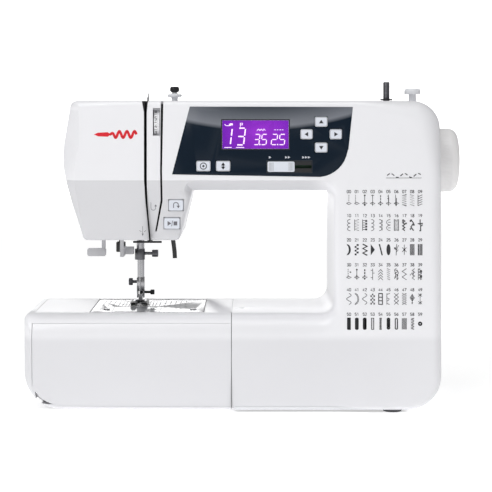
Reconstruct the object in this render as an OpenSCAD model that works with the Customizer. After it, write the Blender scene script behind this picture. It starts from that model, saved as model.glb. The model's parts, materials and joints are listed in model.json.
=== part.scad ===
/* [Body] */
// Height of the body's top
body_top = 291; // [288:1:296]
// Right side of the column
body_right = 183.5; // [180:0.5:186]
// Front face of the covers
front_y = -74; // [-74:1:-72]
// Rear face of the arm and the bed
rear_y = 52; // [50:1:54]
// Rear face of the motor bulge
bulge_y = 75; // [70:1:76]
// Plane where the front and rear covers meet
split_y = -12; // [-13:0.5:-12]
// Wall thickness of the covers
wall = 2.2; // [2:0.1:2.4]
// Height of the base shell's bottom edge above the table
base_z = 3; // [2.5:0.5:3]

/* [Arm and throat] */
// Height of the bed surface
bed_z = 91.1; // [90:0.1:92]
// Underside of the arm
arm_z = 207; // [205:1:209]
// Right side of the throat
throat_x = 82.5; // [80:0.5:84]
// Underside of the head
head_z = 160.5; // [159:0.5:162]
// Height of the crease across the head and the arm
crease_z = 217; // [215:1:219]

/* [Extension table] */
// Left end of the extension table
table_left = -207; // [-208:0.5:-206]
// Right end of the extension table
table_right = -13.1; // [-13.5:0.1:-13.1]

/* [Needle area] */
// X of the needle bar and the presser bar
needle_x = -104; // [-105:0.5:-103]
// Y of the needle bar
needle_y = 4; // [3.5:0.5:4]
// Y of the presser bar
presser_y = 17; // [17:0.5:18]
// Radius of the needle bar
needle_bar_r = 3.25; // [3:0.05:3.3]
// Radius of the presser bar
presser_bar_r = 3.5; // [3.3:0.05:3.6]
// Rest height of the needle's point
needle_tip_z = 99; // [97:1:101]
// Height of the needle clamp's screw at rest
clamp_z = 141; // [140:0.5:142]

/* [Main shaft] */
// Y of the main shaft
shaft_y = -4; // [-4:0.5:-3]
// Z of the main shaft
shaft_z = 233; // [232:0.5:234]
// Radius of the main shaft
shaft_r = 5; // [4.5:0.1:5.5]
// Radius of the handwheel
wheel_r = 31; // [29:0.5:32]
// Outer end of the handwheel
wheel_end = 207; // [205:0.5:208]
// Radial running clearance of shafts in bushes
run_gap = 0.05; // [0.02:0.01:0.08]

/* [Controls] */
// Front of the keys at rest
key_front = -75; // [-75.5:0.1:-75]
// Gap round keys and buttons
key_gap = 0.3; // [0.25:0.05:0.4]

/* [Hidden] */

$fn = 48;
white = [0.93, 0.93, 0.95];
steel = [0.72, 0.73, 0.75];
black = [0.08, 0.08, 0.09];
navy = [0.09, 0.13, 0.19];
key_white = [0.88, 0.89, 0.93];

base_left = table_right + 0.3;      // left wall of the base part of the covers
corner_r = 26;                      // top right corner of the body
foot_r = 31;                        // bottom right corner of the body
throat_low_r = 13;                  // lower right corner of the throat
throat_high_r = 9;                  // upper right corner of the throat
head_corner_r = 5;                  // lower corners of the head
head_right_top = -49.8;             // right edge of the head where it meets the arm
head_right_low = -60.5;             // right edge of the head at its lower corner
head_left_low = -152.5;
head_left_mid = -171.4;
head_left_top = -165;
head_mid_z = 237;
top_left_r = 8;
top_edge_r = 5;                     // rounding of the top front edge
bed_edge_r = 20;                    // rounding of the bed's front edge
head_lean = 6;                      // how far the lower head leans back
arm_chamfer = 12;                   // depth of the band under the arm's crease
shaft_hole_r = 7;

// Slot between the face cover and the front cover, as the left and right side at each height
slot_left = [[-96.4, body_top], [-94, 280], [-94, crease_z], [-92.3, 198], [-90.9, 180], [-89, head_z]];
slot_right = [[-90.4, body_top], [-91.6, 280], [-91.6, crease_z], [-91, 198], [-90.1, 180], [-88.4, head_z]];
slot_back = -32;                    // how far back the slots run across the top

hook_y = -17;
hook_r = 19;
lower_y = 12;
lower_z = 62;
lower_r = 4;
motor_y = 46;
motor_z = 120;
dial_r = 16;
dial_z = 271;
lever_pivot_y = -30;
lever_pivot_z = 246;
lever_x0 = -93.6;                   // take-up lever between its two faces
lever_x1 = -92;
lifter_y = 20;
lifter_z = 172;
handle_y = 60;
handle_z = 278;
handle_x0 = -122;
handle_x1 = 92;
stud_r = 4;
spindle_x = 138.4;
spindle_y = 1;
spindle_r = 2.95;
panel_thick = 1.9;
panel_front = front_y - 0.3;
eps = 0.01;
lid_depth = 6.5;                    // how far back the lid's opening is cut
lid_hinge_y = -72.9;
lid_hinge_z = 7.3;
switch_x = 181;
switch_z = 77;

// ---- helpers ----
function arc(cx, cy, r, a0, a1, n = 8) =
  [for (i = [0:n]) [cx + r * cos(a0 + (a1 - a0) * i / n), cy + r * sin(a0 + (a1 - a0) * i / n)]];
function flip(pts) = [for (i = [len(pts) - 1:-1:0]) pts[i]];

module along_y(y0, y1) { translate([0, y1, 0]) rotate([90, 0, 0]) linear_extrude(y1 - y0) children(); }
module along_x(x0, x1) { translate([x0, 0, 0]) rotate([90, 0, 90]) linear_extrude(x1 - x0) children(); }
module box(x0, x1, y0, y1, z0, z1) { translate([x0, y0, z0]) cube([x1 - x0, y1 - y0, z1 - z0]); }
module rod_x(x0, x1, y, z, r) { translate([x0, y, z]) rotate([0, 90, 0]) cylinder(r = r, h = x1 - x0); }
module rod_y(y0, y1, x, z, r) { translate([x, y0, z]) rotate([-90, 0, 0]) cylinder(r = r, h = y1 - y0); }
module rod_z(z0, z1, x, y, r) { translate([x, y, z0]) cylinder(r = r, h = z1 - z0); }
module tube_x(x0, x1, y, z, r1, r0) {
  difference() { rod_x(x0, x1, y, z, r1); rod_x(x0 - 1, x1 + 1, y, z, r0); }
}
module tube_z(z0, z1, x, y, r1, r0) {
  difference() { rod_z(z0, z1, x, y, r1); rod_z(z0 - 1, z1 + 1, x, y, r0); }
}
// Box with its four edges along Y rounded
module slab_y(x0, x1, y0, y1, z0, z1, r) {
  along_y(y0, y1) polygon(concat(arc(x1 - r, z1 - r, r, 90, 0), arc(x1 - r, z0 + r, r, 0, -90),
    arc(x0 + r, z0 + r, r, -90, -180), arc(x0 + r, z1 - r, r, 180, 90)));
}
// Box with its four upright edges rounded
module slab_z(x0, x1, y0, y1, z0, z1, r) {
  translate([0, 0, z0]) linear_extrude(z1 - z0) polygon(concat(arc(x1 - r, y1 - r, r, 90, 0),
    arc(x1 - r, y0 + r, r, 0, -90), arc(x0 + r, y0 + r, r, -90, -180), arc(x0 + r, y1 - r, r, 180, 90)));
}

// ---- outlines of the covers, inset by w ----
function column_pts(w) = concat(
  arc(body_right - corner_r, body_top - corner_r, corner_r - w, 90, 0),
  arc(body_right - foot_r, base_z + foot_r, foot_r - w, 0, -90),
  [[base_left + w, base_z + w], [base_left + w, bed_z - w]],
  arc(throat_x - throat_low_r, bed_z + throat_low_r, throat_low_r + w, -90, 0),
  arc(throat_x - throat_high_r, arm_z - throat_high_r, throat_high_r + w, 0, 90),
  [[head_right_top - w, arm_z + w]],
  arc(head_right_low - head_corner_r - w, head_z + head_corner_r + w, head_corner_r, 0, -90));
function head_left_pts(w) = concat(
  arc(head_left_low + head_corner_r + w, head_z + head_corner_r + w, head_corner_r, -90, -180),
  [[head_left_mid + w, head_mid_z]],
  arc(head_left_top + top_left_r, body_top - top_left_r, top_left_r - w, 180, 90));
function shift_x(pts, dx) = [for (p = pts) [p[0] + dx, p[1]]];
function front_pts(w) = concat(column_pts(w), flip(shift_x(slot_right, w > 0 ? -8 : 0)));
function face_pts(w) = concat(shift_x(slot_left, w > 0 ? 8 : 0), head_left_pts(w));
function rear_pts(w) = concat(column_pts(w), head_left_pts(w));
function table_pts(w) = concat([[table_right - w, base_z + 0.5 + w]],
  arc(table_left + 34, base_z + 34.5, 34 - w, -90, -180),
  arc(table_left + 4, bed_z - 4, 4 - w, 180, 90), [[table_right - w, bed_z - w]]);

// Cutters that round or bevel the front of the covers; w is the inset of the body they work on
module top_edge_cut(x0, x1, w) {
  along_x(x0, x1) difference() {
    translate([front_y - 1, body_top - top_edge_r]) square([top_edge_r + 1, top_edge_r + 1]);
    translate([front_y + top_edge_r, body_top - top_edge_r]) circle(top_edge_r - w);
  }
}
module bed_edge_cut(x0, x1, w) {
  along_x(x0, x1) difference() {
    translate([front_y - 1, bed_z - bed_edge_r]) square([bed_edge_r + 1, bed_edge_r + 1]);
    translate([front_y + bed_edge_r, bed_z - bed_edge_r]) circle(bed_edge_r - w);
  }
}
module head_lean_cut(x0, x1, w) {
  along_x(x0, x1) polygon([[front_y - 1, crease_z], [front_y + w, crease_z],
    [front_y + w + head_lean, head_z], [front_y + w + head_lean, head_z - 1], [front_y - 1, head_z - 1]]);
}
module arm_chamfer_cut(x0, x1, w) {
  along_x(x0, x1) polygon([[front_y - 1, crease_z], [front_y + w, crease_z],
    [front_y + w + arm_chamfer, arm_z], [front_y + w + arm_chamfer, arm_z - 1], [front_y - 1, arm_z - 1]]);
}

module front_block(w, back) {
  difference() {
    along_y(front_y + w, back) polygon(front_pts(w));
    top_edge_cut(-110, 200, w);
    bed_edge_cut(-20, throat_x - throat_low_r, w);
    head_lean_cut(-110, head_right_top, w);
    arm_chamfer_cut(head_right_top - eps, throat_x - throat_high_r, w);
  }
}
module face_block(w, back) {
  difference() {
    along_y(front_y + w, back) polygon(face_pts(w));
    top_edge_cut(-180, -80, w);
    head_lean_cut(-180, -80, w);
  }
}
module rear_block(w, front) {
  along_y(front, rear_y - w) polygon(rear_pts(w));
  intersection() {
    along_y(front, bulge_y - w) polygon(rear_pts(w));
    along_x(96 + w, 200) polygon([[rear_y - 10, base_z - 5], [bulge_y - w, base_z - 5], [bulge_y - w, 195],
      [rear_y - w, 232 - w], [rear_y - 10, 232 - w]]);
  }
}

function panel_pts(g) = concat([[-51.6 - g, 285.6 + g]], [[100.1 + g, 285.3 + g], [96 + g, 246.2]],
  arc(67, 248.5, 28.5 + g, -10, -84, 8), [[-68.1 - g, 222.5 - g]]);

// Arrow keys, stitch keys and slider on the panel: x0, x1, z0, z1
up_rect = [64.8, 76.5, 266.9, 276];
down_rect = [64.8, 76.5, 243, 252.1];
left_rect = [51.4, 62.7, 255.3, 264.5];
right_rect = [78.5, 89.9, 255.3, 264.5];
lock_rect = [-45.5, -32.3, 225.5, 235.1];
needle_rect = [-27.2, -13.9, 225.5, 235.1];
key_rects = [up_rect, down_rect, left_rect, right_rect, lock_rect, needle_rect];
slider_rect = [20.7, 45.9, 224.9, 234.5];
slider_travel = 15.6;
display_rect = [-21.3, 40.3, 246.4, 272.7];
reverse_rect = [-71.5, -57.6, 188.5, 198.9];
start_rect = [-75.9, -60.9, 171.4, 182];

// ---- covers ----
module shaft_hole() { rod_x(170, 200, shaft_y, shaft_z, shaft_hole_r); }
module rect_hole(r, g, y0, y1) { box(r[0] - g, r[1] + g, y0, y1, r[2] - g, r[3] + g); }
// Notch for the base plate where it leaves the base for the free arm
module base_link_hole(y1) { box(base_left - 1, base_left + wall + 1, -50.3, y1, base_z - 1, base_z + 3.3); }
module front_cover() {
  color(white) difference() {
    front_block(0, split_y);
    front_block(wall, split_y + 1);
    box(base_left + wall, body_right - foot_r, front_y + wall, split_y + 1, base_z - 1, base_z + wall + 1);
    along_y(front_y - 1, front_y + 1.6) polygon(panel_pts(0.2));
    along_y(front_y - 1, front_y + 4) polygon(panel_pts(-1.3));
    rect_hole(reverse_rect, key_gap, front_y - 1, front_y + 10);
    rect_hole(start_rect, key_gap, front_y - 1, front_y + 10);
    rod_z(head_z - 1, head_z + 10, -72, -30, 5.1);
    base_link_hole(split_y + 1);
    box(-86, -79.1, front_y - 1, front_y + 5, 258, 284.4);
    along_y(front_y - 1, slot_back) polygon([[-78.2, body_top + 1], [-76.4, body_top + 1], [-77.9, 226],
      [-77.2, 198], [-82.6, 169], [-84, 169], [-79.1, 198], [-79.7, 226]]);
  }
}
module rear_cover() {
  color(white) difference() {
    union() {
      rear_block(0, split_y);
      for (x = [[handle_x0 - 12, handle_x0 - 0.6], [handle_x1 + 0.6, handle_x1 + 12]])
        slab_y(x[0], x[1], rear_y - 4, handle_y + 7, handle_z - 8, handle_z + 9, 3);
      rod_z(body_top - 14, body_top, -45, 22, 5);
    }
    difference() {
      rear_block(wall, split_y - 1);
      rod_z(body_top - 14, body_top, -45, 22, 5);
      box(-32, 66, 4, 42, 266, body_top);
    }
    box(base_left + wall, body_right - foot_r, split_y - 1, rear_y - wall, base_z - 1, base_z + wall + 1);
    slab_z(-29.8, 63.8, 6.2, 39.8, 268.2, body_top + 1, 4);
    rod_x(handle_x0 - 9, handle_x0, handle_y, handle_z, stud_r + run_gap);
    rod_x(handle_x1, handle_x1 + 9, handle_y, handle_z, stud_r + run_gap);
    rod_z(body_top - 11, body_top + 1, -45, 22, 2.5);
    slab_z(spindle_x - 4, spindle_x + 8, spindle_y - 4, spindle_y + 4, 285, body_top + 1, 3.9);
    rod_z(285, body_top + 1, 164, spindle_y, 3.75);
    rod_z(285, body_top + 1, -69.5, -2, 2);
    box(-76, -68, 12, 70, 150, 186);
    box(-113, -95, split_y - 1, 26, 150, 170);
    box(-131, -117, 10, 30, 150, 170);
    box(170, 190, -0.2, 44.2, 35.8, 60.2);
    box(170, 190, 7.8, 30.2, 69.8, 84.2);
    box(base_left - 1, base_left + wall + 1, split_y - 1, 37, 50, 87);
    base_link_hole(37.3);
    shaft_hole();
  }
}
module face_cover() {
  color(white) difference() {
    face_block(0, split_y - 0.05);
    face_block(wall, split_y + 1);
    box(-156, -106, -33, -23, 150, 170);
  }
}
module base_plate() {
  color([0.8, 0.8, 0.82]) {
    box(base_left + wall + 0.3, body_right - foot_r - 1, front_y + wall + 0.3, 46, base_z, base_z + 3);
    box(-165, base_left - 0.4, -50, 37, base_z, base_z + 7);
    box(base_left - 0.4, base_left + wall + 0.3, -50, 37, base_z, base_z + 3);
  }
}
module rubber_feet() {
  color([0.3, 0.3, 0.32]) for (p = [[-150, -38], [-150, 25], [-30, -38], [-30, 25], [138, -60], [138, 34]])
    rod_z(0, base_z, p[0], p[1], 9);
}
module main_frame() {
  color([0.6, 0.61, 0.62]) {
    difference() {
      union() {
        box(-90, 150, 26, 31, 214, 262);                        // arm wall
        box(96, 150, 26, 31, 20, 214);                          // column wall
        box(-150, 96, 27, 31, 52, 84);                          // bed wall
        for (x = [-82, 62, 120]) box(x, x + 6, shaft_y - 14, 26, shaft_z - 14, shaft_z + 14);
        for (x = [-60, 20, 120]) box(x, x + 6, lower_y - 10, 27, lower_z - 9, lower_z + 9);
        box(-82, -76, 24, 26, 168, 214);
        box(-90, -76, 26, 31, 168, 214);                        // head wall
        for (z = [256, 176]) box(-113, -76, needle_y - 8, 26, z, z + 8);
        box(104, 146, 26, 60, 88, 94);                          // motor bracket
      }
      for (x = [-83, 61, 119]) rod_x(x, x + 8, shaft_y, shaft_z, 8);
      for (x = [-61, 19, 119]) rod_x(x, x + 8, lower_y, lower_z, 6.5);
      for (z = [255, 175]) { rod_z(z, z + 10, needle_x, needle_y, 5); rod_z(z, z + 10, needle_x, presser_y, 5.2); }
      rod_x(90, 160, motor_y, motor_z, 25.5);
    }
  }
}
module bushes() {
  color([0.75, 0.6, 0.35]) {
    for (x = [-82, 62, 120]) tube_x(x, x + 6, shaft_y, shaft_z, 8, shaft_r + run_gap);
    for (x = [-60, 20, 120]) tube_x(x, x + 6, lower_y, lower_z, 6.5, lower_r + run_gap);
    for (z = [256, 176]) {
      tube_z(z, z + 8, needle_x, needle_y, 5, needle_bar_r + run_gap);
      tube_z(z, z + 8, needle_x, presser_y, 5.2, presser_bar_r + run_gap);
    }
  }
}
module free_arm_cover() {
  color(white) difference() {
    slab_z(-199, base_left, -53.2, 39.5, 46, bed_z, 5);
    slab_z(-199 + wall, base_left + 5, -53.2 + wall, 39.5 - wall, 46 + wall, bed_z - wall - 1.2, 4);
    box(-147.5, -38.9, -51.9, 37.2, bed_z - 2, bed_z + 1);
    slab_z(-143, -43, -48, 33, bed_z - 6, bed_z + 1, 3);
  }
}
module extension_table() {
  color(white) difference() {
    along_y(front_y, rear_y) polygon(table_pts(0));
    bed_edge_cut(table_left - 1, table_right + 1, 0);
    slab_z(-199.4, 0, -53.6, 39.9, -1, 95, 5);
    intersection() {                                            // opening that the lid closes
      along_y(front_y - 1, front_y + lid_depth) polygon(table_pts(0.9));
      box(-198.7, 0, front_y - 1, front_y + lid_depth, 0, 83.6);
    }
    box(-196, table_right + 0.1, front_y + 3, -56, 8, 84);      // storage space
    box(-190, -172, front_y - 1, front_y + 2.6, base_z, 11);    // lets the lid's lower corner swing
    box(-197, -16, 42.2, rear_y - wall, -1, bed_z - wall);
  }
}
module storage_lid() {
  color(white) {
    intersection() {
      along_x(-198.4, table_right - 0.3) polygon(concat(
        [[front_y, lid_hinge_z], [front_y, bed_z - bed_edge_r]],
        arc(front_y + bed_edge_r, bed_z - bed_edge_r, bed_edge_r, 180, 142.5, 5),
        arc(front_y + bed_edge_r, bed_z - bed_edge_r, bed_edge_r - wall, 142.5, 180, 5), [[front_y + wall, lid_hinge_z]]));
      along_y(front_y - 1, front_y + 12) polygon(table_pts(1.2));
    }
    rod_x(-170, table_right - 1.5, lid_hinge_y, lid_hinge_z, 1.1);
  }
}

// ---- needle plate ----
module needle_plate() {
  color(steel) difference() {
    slab_z(-147.3, -39.1, -51.7, 37, bed_z - 2, bed_z, 1.5);
    slab_z(-127, -81, -50, -16, bed_z - 3, bed_z + 1, 2);
    slab_z(needle_x - 3.5, needle_x + 3.5, needle_y - 1.4, needle_y + 1.4, bed_z - 3, bed_z + 1, 1.3);
    for (x = [-6.7, 6.7]) box(needle_x + x - 1.5, needle_x + x + 1.5, -8, 20, bed_z - 3, bed_z + 1);
    box(needle_x - 1.7, needle_x + 1.7, 7, 20, bed_z - 3, bed_z + 1);
    for (p = [[-133, -32], [-50, -32]]) rod_z(bed_z - 3, bed_z + 1, p[0], p[1], 2);
  }
}
module hook_cover() {
  color([0.75, 0.76, 0.78, 0.6]) slab_z(-126.7, -81.3, -49.7, -16.3, bed_z - 2, bed_z, 1.8);
}
module screws() {
  color(steel) {
    for (p = [[-133, -32], [-50, -32]]) { rod_z(bed_z - 8, bed_z, p[0], p[1], 2); rod_z(bed_z, bed_z + 0.6, p[0], p[1], 3.2); }
  }
}

// ---- handle and handwheel ----
module carrying_handle() {
  color([0.85, 0.85, 0.88]) {
    for (x = [handle_x0, handle_x1 - 7]) slab_z(x, x + 7, handle_y - 5, handle_y + 5, 226, handle_z + 5, 2);
    slab_y(handle_x0 + 7, handle_x1 - 7, handle_y - 5, handle_y + 5, 226, 239, 4);
    rod_x(handle_x0 - 7, handle_x0, handle_y, handle_z, stud_r);
    rod_x(handle_x1, handle_x1 + 7, handle_y, handle_z, stud_r);
  }
}
module handwheel() {
  color(white) translate([body_right + 1, shaft_y, shaft_z]) rotate([0, 90, 0]) difference() {
    rotate_extrude() polygon(concat([[0, 0], [wheel_r - 1.5, 0]], [[wheel_r, 1.5], [wheel_r, 13]],
      arc(wheel_r - 9, 13.5, 9, 0, 90), [[0, wheel_end - body_right - 1]]));
    translate([0, 0, -1]) cylinder(r = shaft_r, h = 13);
  }
}
module main_shaft() {
  color(steel) {
    rod_x(-88, body_right + 13, shaft_y, shaft_z, shaft_r);
    rod_x(-90, -85, shaft_y, shaft_z, 18.5);
    rod_x(-98, -90, shaft_y, shaft_z + 15, 2.5);
    rod_x(134, 144, shaft_y, shaft_z, 12);
    rod_x(154, 162, shaft_y, shaft_z, 29);
  }
}
module lower_shaft() {
  color(steel) {
    rod_x(-72, 146, lower_y, lower_z, lower_r);
    rod_x(-72, -64, lower_y, lower_z, 9);
    rod_x(134, 144, lower_y, lower_z, 12);
  }
}
// Belt as a loop round two pulleys at (y1, z1) and (y2, z2)
module belt(x0, x1, y1, z1, r1, y2, z2, r2, t) {
  a = atan2(z2 - z1, y2 - y1);
  s = asin((r1 - r2) / norm([y2 - y1, z2 - z1]));
  along_x(x0, x1) difference() {
    polygon(concat(arc(y1, z1, r1 + t, a + 90 - s, a + 270 + s, 16), arc(y2, z2, r2 + t, a - 90 + s, a + 90 - s, 16)));
    polygon(concat(arc(y1, z1, r1, a + 90 - s, a + 270 + s, 16), arc(y2, z2, r2, a - 90 + s, a + 90 - s, 16)));
  }
}
module belts() {
  color(black) {
    belt(135, 143, lower_y, lower_z, 12.2, shaft_y, shaft_z, 12.2, 1.6);
    belt(155, 161, motor_y, motor_z, 6.5, shaft_y, shaft_z, 29.5, 2);
  }
}
module motor() {
  color([0.4, 0.4, 0.42]) difference() {
    rod_x(100, 150, motor_y, motor_z, 25);
    rod_x(99, 151, motor_y, motor_z, 3.3);
  }
}
module motor_pulley() {
  color(steel) { rod_x(101, 163, motor_y, motor_z, 3.25); rod_x(154, 162, motor_y, motor_z, 6); }
}

// ---- controls ----
module control_panel() {
  color(navy) difference() {
    along_y(panel_front, panel_front + panel_thick) polygon(panel_pts(0));
    for (r = key_rects) rect_hole(r, key_gap, panel_front - 1, front_y + 4);
    rect_hole(display_rect, 0.1, panel_front - 1, front_y + 4);
    box(slider_rect[0] - 0.4, slider_rect[1] + slider_travel + 0.4, panel_front - 1, front_y + 4, 228.2, 231.2);
  }
}
module display() { color([0.45, 0.15, 0.75]) rect_hole(display_rect, 0, front_y, front_y + 4); }
module control_board() { color([0.1, 0.35, 0.2]) box(-58, 88, front_y + 6.5, front_y + 8, 227, 280); }
// Key with a flange behind the panel that keeps it in
module key(r) {
  color(key_white) { rect_hole(r, 0, key_front, front_y + 3); rect_hole(r, 0.9, front_y + 2, front_y + 3); }
}
module key_up() { key(up_rect); }
module key_down() { key(down_rect); }
module key_left() { key(left_rect); }
module key_right() { key(right_rect); }
module lock_key() { key(lock_rect); }
module needle_key() { key(needle_rect); }
module speed_slider() {
  color(key_white) {
    rect_hole(slider_rect, 0, panel_front - 0.6, panel_front - 0.1);
    box(slider_rect[0] + 9, slider_rect[1] - 9, panel_front - 0.1, front_y + 4.5, 228.5, 230.9);
  }
}
module head_button(r, depth) {
  color(key_white) { rect_hole(r, 0, front_y + depth, front_y + 8); rect_hole(r, -2, front_y + 8, front_y + 11); }
}
module reverse_button() { head_button(reverse_rect, 1); }
module start_stop_button() { head_button(start_rect, 2.6); }
module tension_dial() {
  color(white) rod_x(-85.2, -79.9, front_y + dial_r - 0.6, dial_z, dial_r - 1);
  color(steel) rod_x(-86.8, -78.6, front_y + dial_r - 0.6, dial_z, 2);
}
module power_switch() {
  color(black) {
    along_x(175, 185.2) polygon([[8.8, 70.9], [29.2, 70.9], [29.2, 83.1], [8.8, 83.1]]);
    rod_y(8, 30, switch_x, switch_z, 2);
  }
}
module terminal_socket() {
  color(black) difference() {
    box(172, body_right, 0, 44, 36, 60);
    rod_x(body_right - 10, body_right + 1, 10, 48, 2.6);
    box(body_right - 9, body_right + 1, 22, 40, 43, 53);
  }
}

// ---- head ----
module take_up_lever() {
  color(steel) difference() {
    union() {
      rod_x(lever_x0, lever_x1, lever_pivot_y, lever_pivot_z, 6);
      along_x(lever_x0, lever_x1) polygon([[lever_pivot_y - 5, lever_pivot_z], [lever_pivot_y + 5, lever_pivot_z],
        [-33, 286], [-36, 298.5], [-41.5, 298.5], [-43, 294], [-39, 284]]);
    }
    rod_x(lever_x0 - 1, lever_x1 + 1, -38.9, 294.7, 1.3);
  }
}
module needle_bar() {
  color(steel) {
    tube_z(clamp_z - 2, 287.5, needle_x, needle_y, needle_bar_r, 1.6);
    difference() {
      box(needle_x - 5.5, needle_x + 3.8, needle_y - 6, needle_y + 6, 216, 228);
      rod_z(215, 229, needle_x, needle_y, needle_bar_r);
    }
  }
}
module needle_clamp() {
  color(steel) difference() {
    rod_z(clamp_z - 6, clamp_z + 4.5, needle_x, needle_y, 5);
    rod_z(clamp_z - 2, clamp_z + 6, needle_x, needle_y, needle_bar_r);
    rod_z(clamp_z - 7, clamp_z - 1, needle_x, needle_y, 1.1);
    rod_x(needle_x, needle_x + 6, needle_y, clamp_z, 1.55);
  }
}
module clamp_screw() {
  color(black) {
    rod_x(needle_x + 3.4, needle_x + 12, needle_y, clamp_z, 1.5);
    rod_x(needle_x + 12, needle_x + 18, needle_y, clamp_z, 3.6);
  }
}
module needle() {
  color(steel) {
    rod_z(125, clamp_z - 2.5, needle_x, needle_y, 1.05);
    rod_z(needle_tip_z + 8, 125, needle_x, needle_y, 0.5);
    translate([needle_x, needle_y, needle_tip_z]) cylinder(r1 = 0.1, r2 = 0.5, h = 8);
  }
}
module presser_bar() {
  color(steel) {
    rod_z(108, 272, needle_x, presser_y, presser_bar_r);
    tube_z(196, 202, needle_x, presser_y, 6.5, presser_bar_r);
  }
}
module presser_spring() { color(steel) tube_z(202.5, 255.5, needle_x, presser_y, 5.6, 4.4); }
module foot_lifter() {
  color(black) {
    rod_x(-74, -70, lifter_y, lifter_z, 6);
    along_x(-74, -70) polygon([[lifter_y - 4, lifter_z - 4], [lifter_y + 5, lifter_z - 4],
      [lifter_y + 9, 137], [lifter_y + 7.5, 134], [lifter_y + 3.5, 134], [lifter_y + 2, 137]]);
  }
}
module foot_holder() {
  color(steel) difference() {
    union() {
      box(needle_x - 3.8, needle_x + 3.8, presser_y - 5, presser_y + 5, 103, 116);
      for (x = [-3.8, 2.3]) box(needle_x + x, needle_x + x + 1.5, presser_y - 4, presser_y + 3, 96, 103);
    }
    rod_z(107, 117, needle_x, presser_y, presser_bar_r);
    rod_x(needle_x - 5, needle_x + 5, presser_y - 1.5, 98.5, 1.05);
    rod_x(needle_x - 5, needle_x - 3.4, presser_y, 111.5, 1.55);
  }
}
module holder_screw() {
  color(steel) { rod_x(needle_x - 8, needle_x - 3.52, presser_y, 111.5, 1.5); rod_x(needle_x - 12, needle_x - 8, presser_y, 111.5, 3.6); }
}
module presser_foot() {
  color(black) {
    difference() {
      union() {
        slab_z(needle_x - 8.4, needle_x + 8.4, -14, 22, bed_z + 0.3, 94.4, 2);
        box(needle_x - 1.9, needle_x + 1.9, presser_y - 4, presser_y + 1, 94.4, 100);
      }
      slab_z(needle_x - 4, needle_x + 4, -1, 8, 90, 96, 1.5);
      box(needle_x - 1.6, needle_x + 1.6, -16, 0, 90, 96);
      along_x(needle_x - 9, needle_x + 9) polygon([[presser_y - 1.5, bed_z], [24, bed_z], [24, bed_z + 1.7], [presser_y - 1.5, bed_z + 0.3]]);
    }
    rod_x(needle_x - 3.8, needle_x + 3.8, presser_y - 1.5, 98.5, 1);
  }
}
module release_lever() {
  color(black) {
    box(needle_x - 1.9, needle_x + 1.9, presser_y + 5.4, presser_y + 9, 99, 106);
    box(needle_x + 1.9, needle_x + 10, presser_y + 6, presser_y + 8.4, 99, 101.4);
    rod_x(needle_x + 9, needle_x + 13, presser_y + 7.2, 100.2, 2.5);
  }
}
module needle_threader() {
  color([0.7, 0.71, 0.73]) {
    slab_y(-152, -134, -31, -26.6, 141.8, 149.5, 2);
    box(-138, -134.5, -30.6, -27, 149.5, 176);
    box(-138, -117, -30.6, -27, 172, 176);
    box(-120.5, -117, -30.6, -27, 141, 172);
    box(-120.5, -117, -27, needle_y - 1, 141, 148);
    box(-117, needle_x - 5.6, -6, needle_y - 1, 141, 148);
  }
}
module buttonhole_lever() {
  color(black) { box(-128.5, -119.5, 15, 23, 141, 151); box(-126, -122, 17, 21, 151, 190); }
}
module thread_guide() {
  color(black) { box(-110, -82, -5.4, -3.4, 152, 154); box(-96, -91, -5.4, -3.4, 154, head_z); }
}
module lamp() { color([1, 0.98, 0.9]) rod_z(head_z - 0.8, head_z + 9, -72, -30, 5); }

// ---- hook ----
module rotary_hook() {
  color(steel) {
    difference() {
      rod_z(66, 86, needle_x, hook_y, hook_r);
      rod_z(67.5, 87, needle_x, hook_y, 17);
    }
    rod_z(48.6, 66, needle_x, hook_y, 3);
    rod_z(50, 57, needle_x, hook_y, 10);
  }
}
module bobbin_holder() {
  color(black) difference() {
    rod_z(68, 86.5, needle_x, hook_y, 16.6);
    rod_z(70.5, 87, needle_x, hook_y, 11);
  }
}
module bobbin() {
  color([0.85, 0.87, 0.9]) translate([needle_x, hook_y, 70.8]) rotate_extrude()
    polygon([[3, 0], [10.3, 0], [10.3, 1], [4.2, 1], [4.2, 10.6], [10.3, 10.6], [10.3, 11.6], [3, 11.6]]);
}
module feed_dog() {
  color(steel) {
    for (x = [-6.7, 6.7]) box(needle_x + x - 1, needle_x + x + 1, -5, 17.4, 87, bed_z - 0.1);
    box(needle_x - 1.2, needle_x + 1.2, 9.6, 17.4, 87, bed_z - 0.1);
    box(needle_x - 8, needle_x + 8, 8, 20, 80, 87);
  }
}

// ---- top ----
module winder_arm() {
  color(black) difference() {
    slab_z(122, 148, -8, 10, 262, 269, 3);
    rod_z(261, 270, spindle_x, spindle_y, spindle_r + run_gap);
  }
}
module winder_spindle() {
  color(black) {
    rod_z(260, 309.6, spindle_x, spindle_y, spindle_r);
    rod_z(269.4, 272, spindle_x, spindle_y, 5);
    rod_z(body_top + 0.5, body_top + 2, spindle_x, spindle_y, 6);
  }
}
module winder_stopper() {
  color(white) {
    rod_z(286, 297.6, 164, spindle_y, 3.75);
    translate([164, spindle_y, 297.6]) rotate_extrude() polygon(concat([[0, 0], [8, 0], [8, 3]],
      arc(5.4, 3, 2.6, 0, 90, 5), [[0, 5.7]]));
  }
}
module pretension_guide() {
  color(steel) { rod_z(286, 300, -69.5, -2, 2); rod_z(293, 297.7, -69.5, -2, 7.15); }
  color(black) rod_z(299.4, 305, -69.5, -2, 4.5);
}
module spool_pin() {
  color([0.9, 0.9, 0.92]) rod_x(-29.8, 26, 23, 281, 2.6);
}

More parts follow.
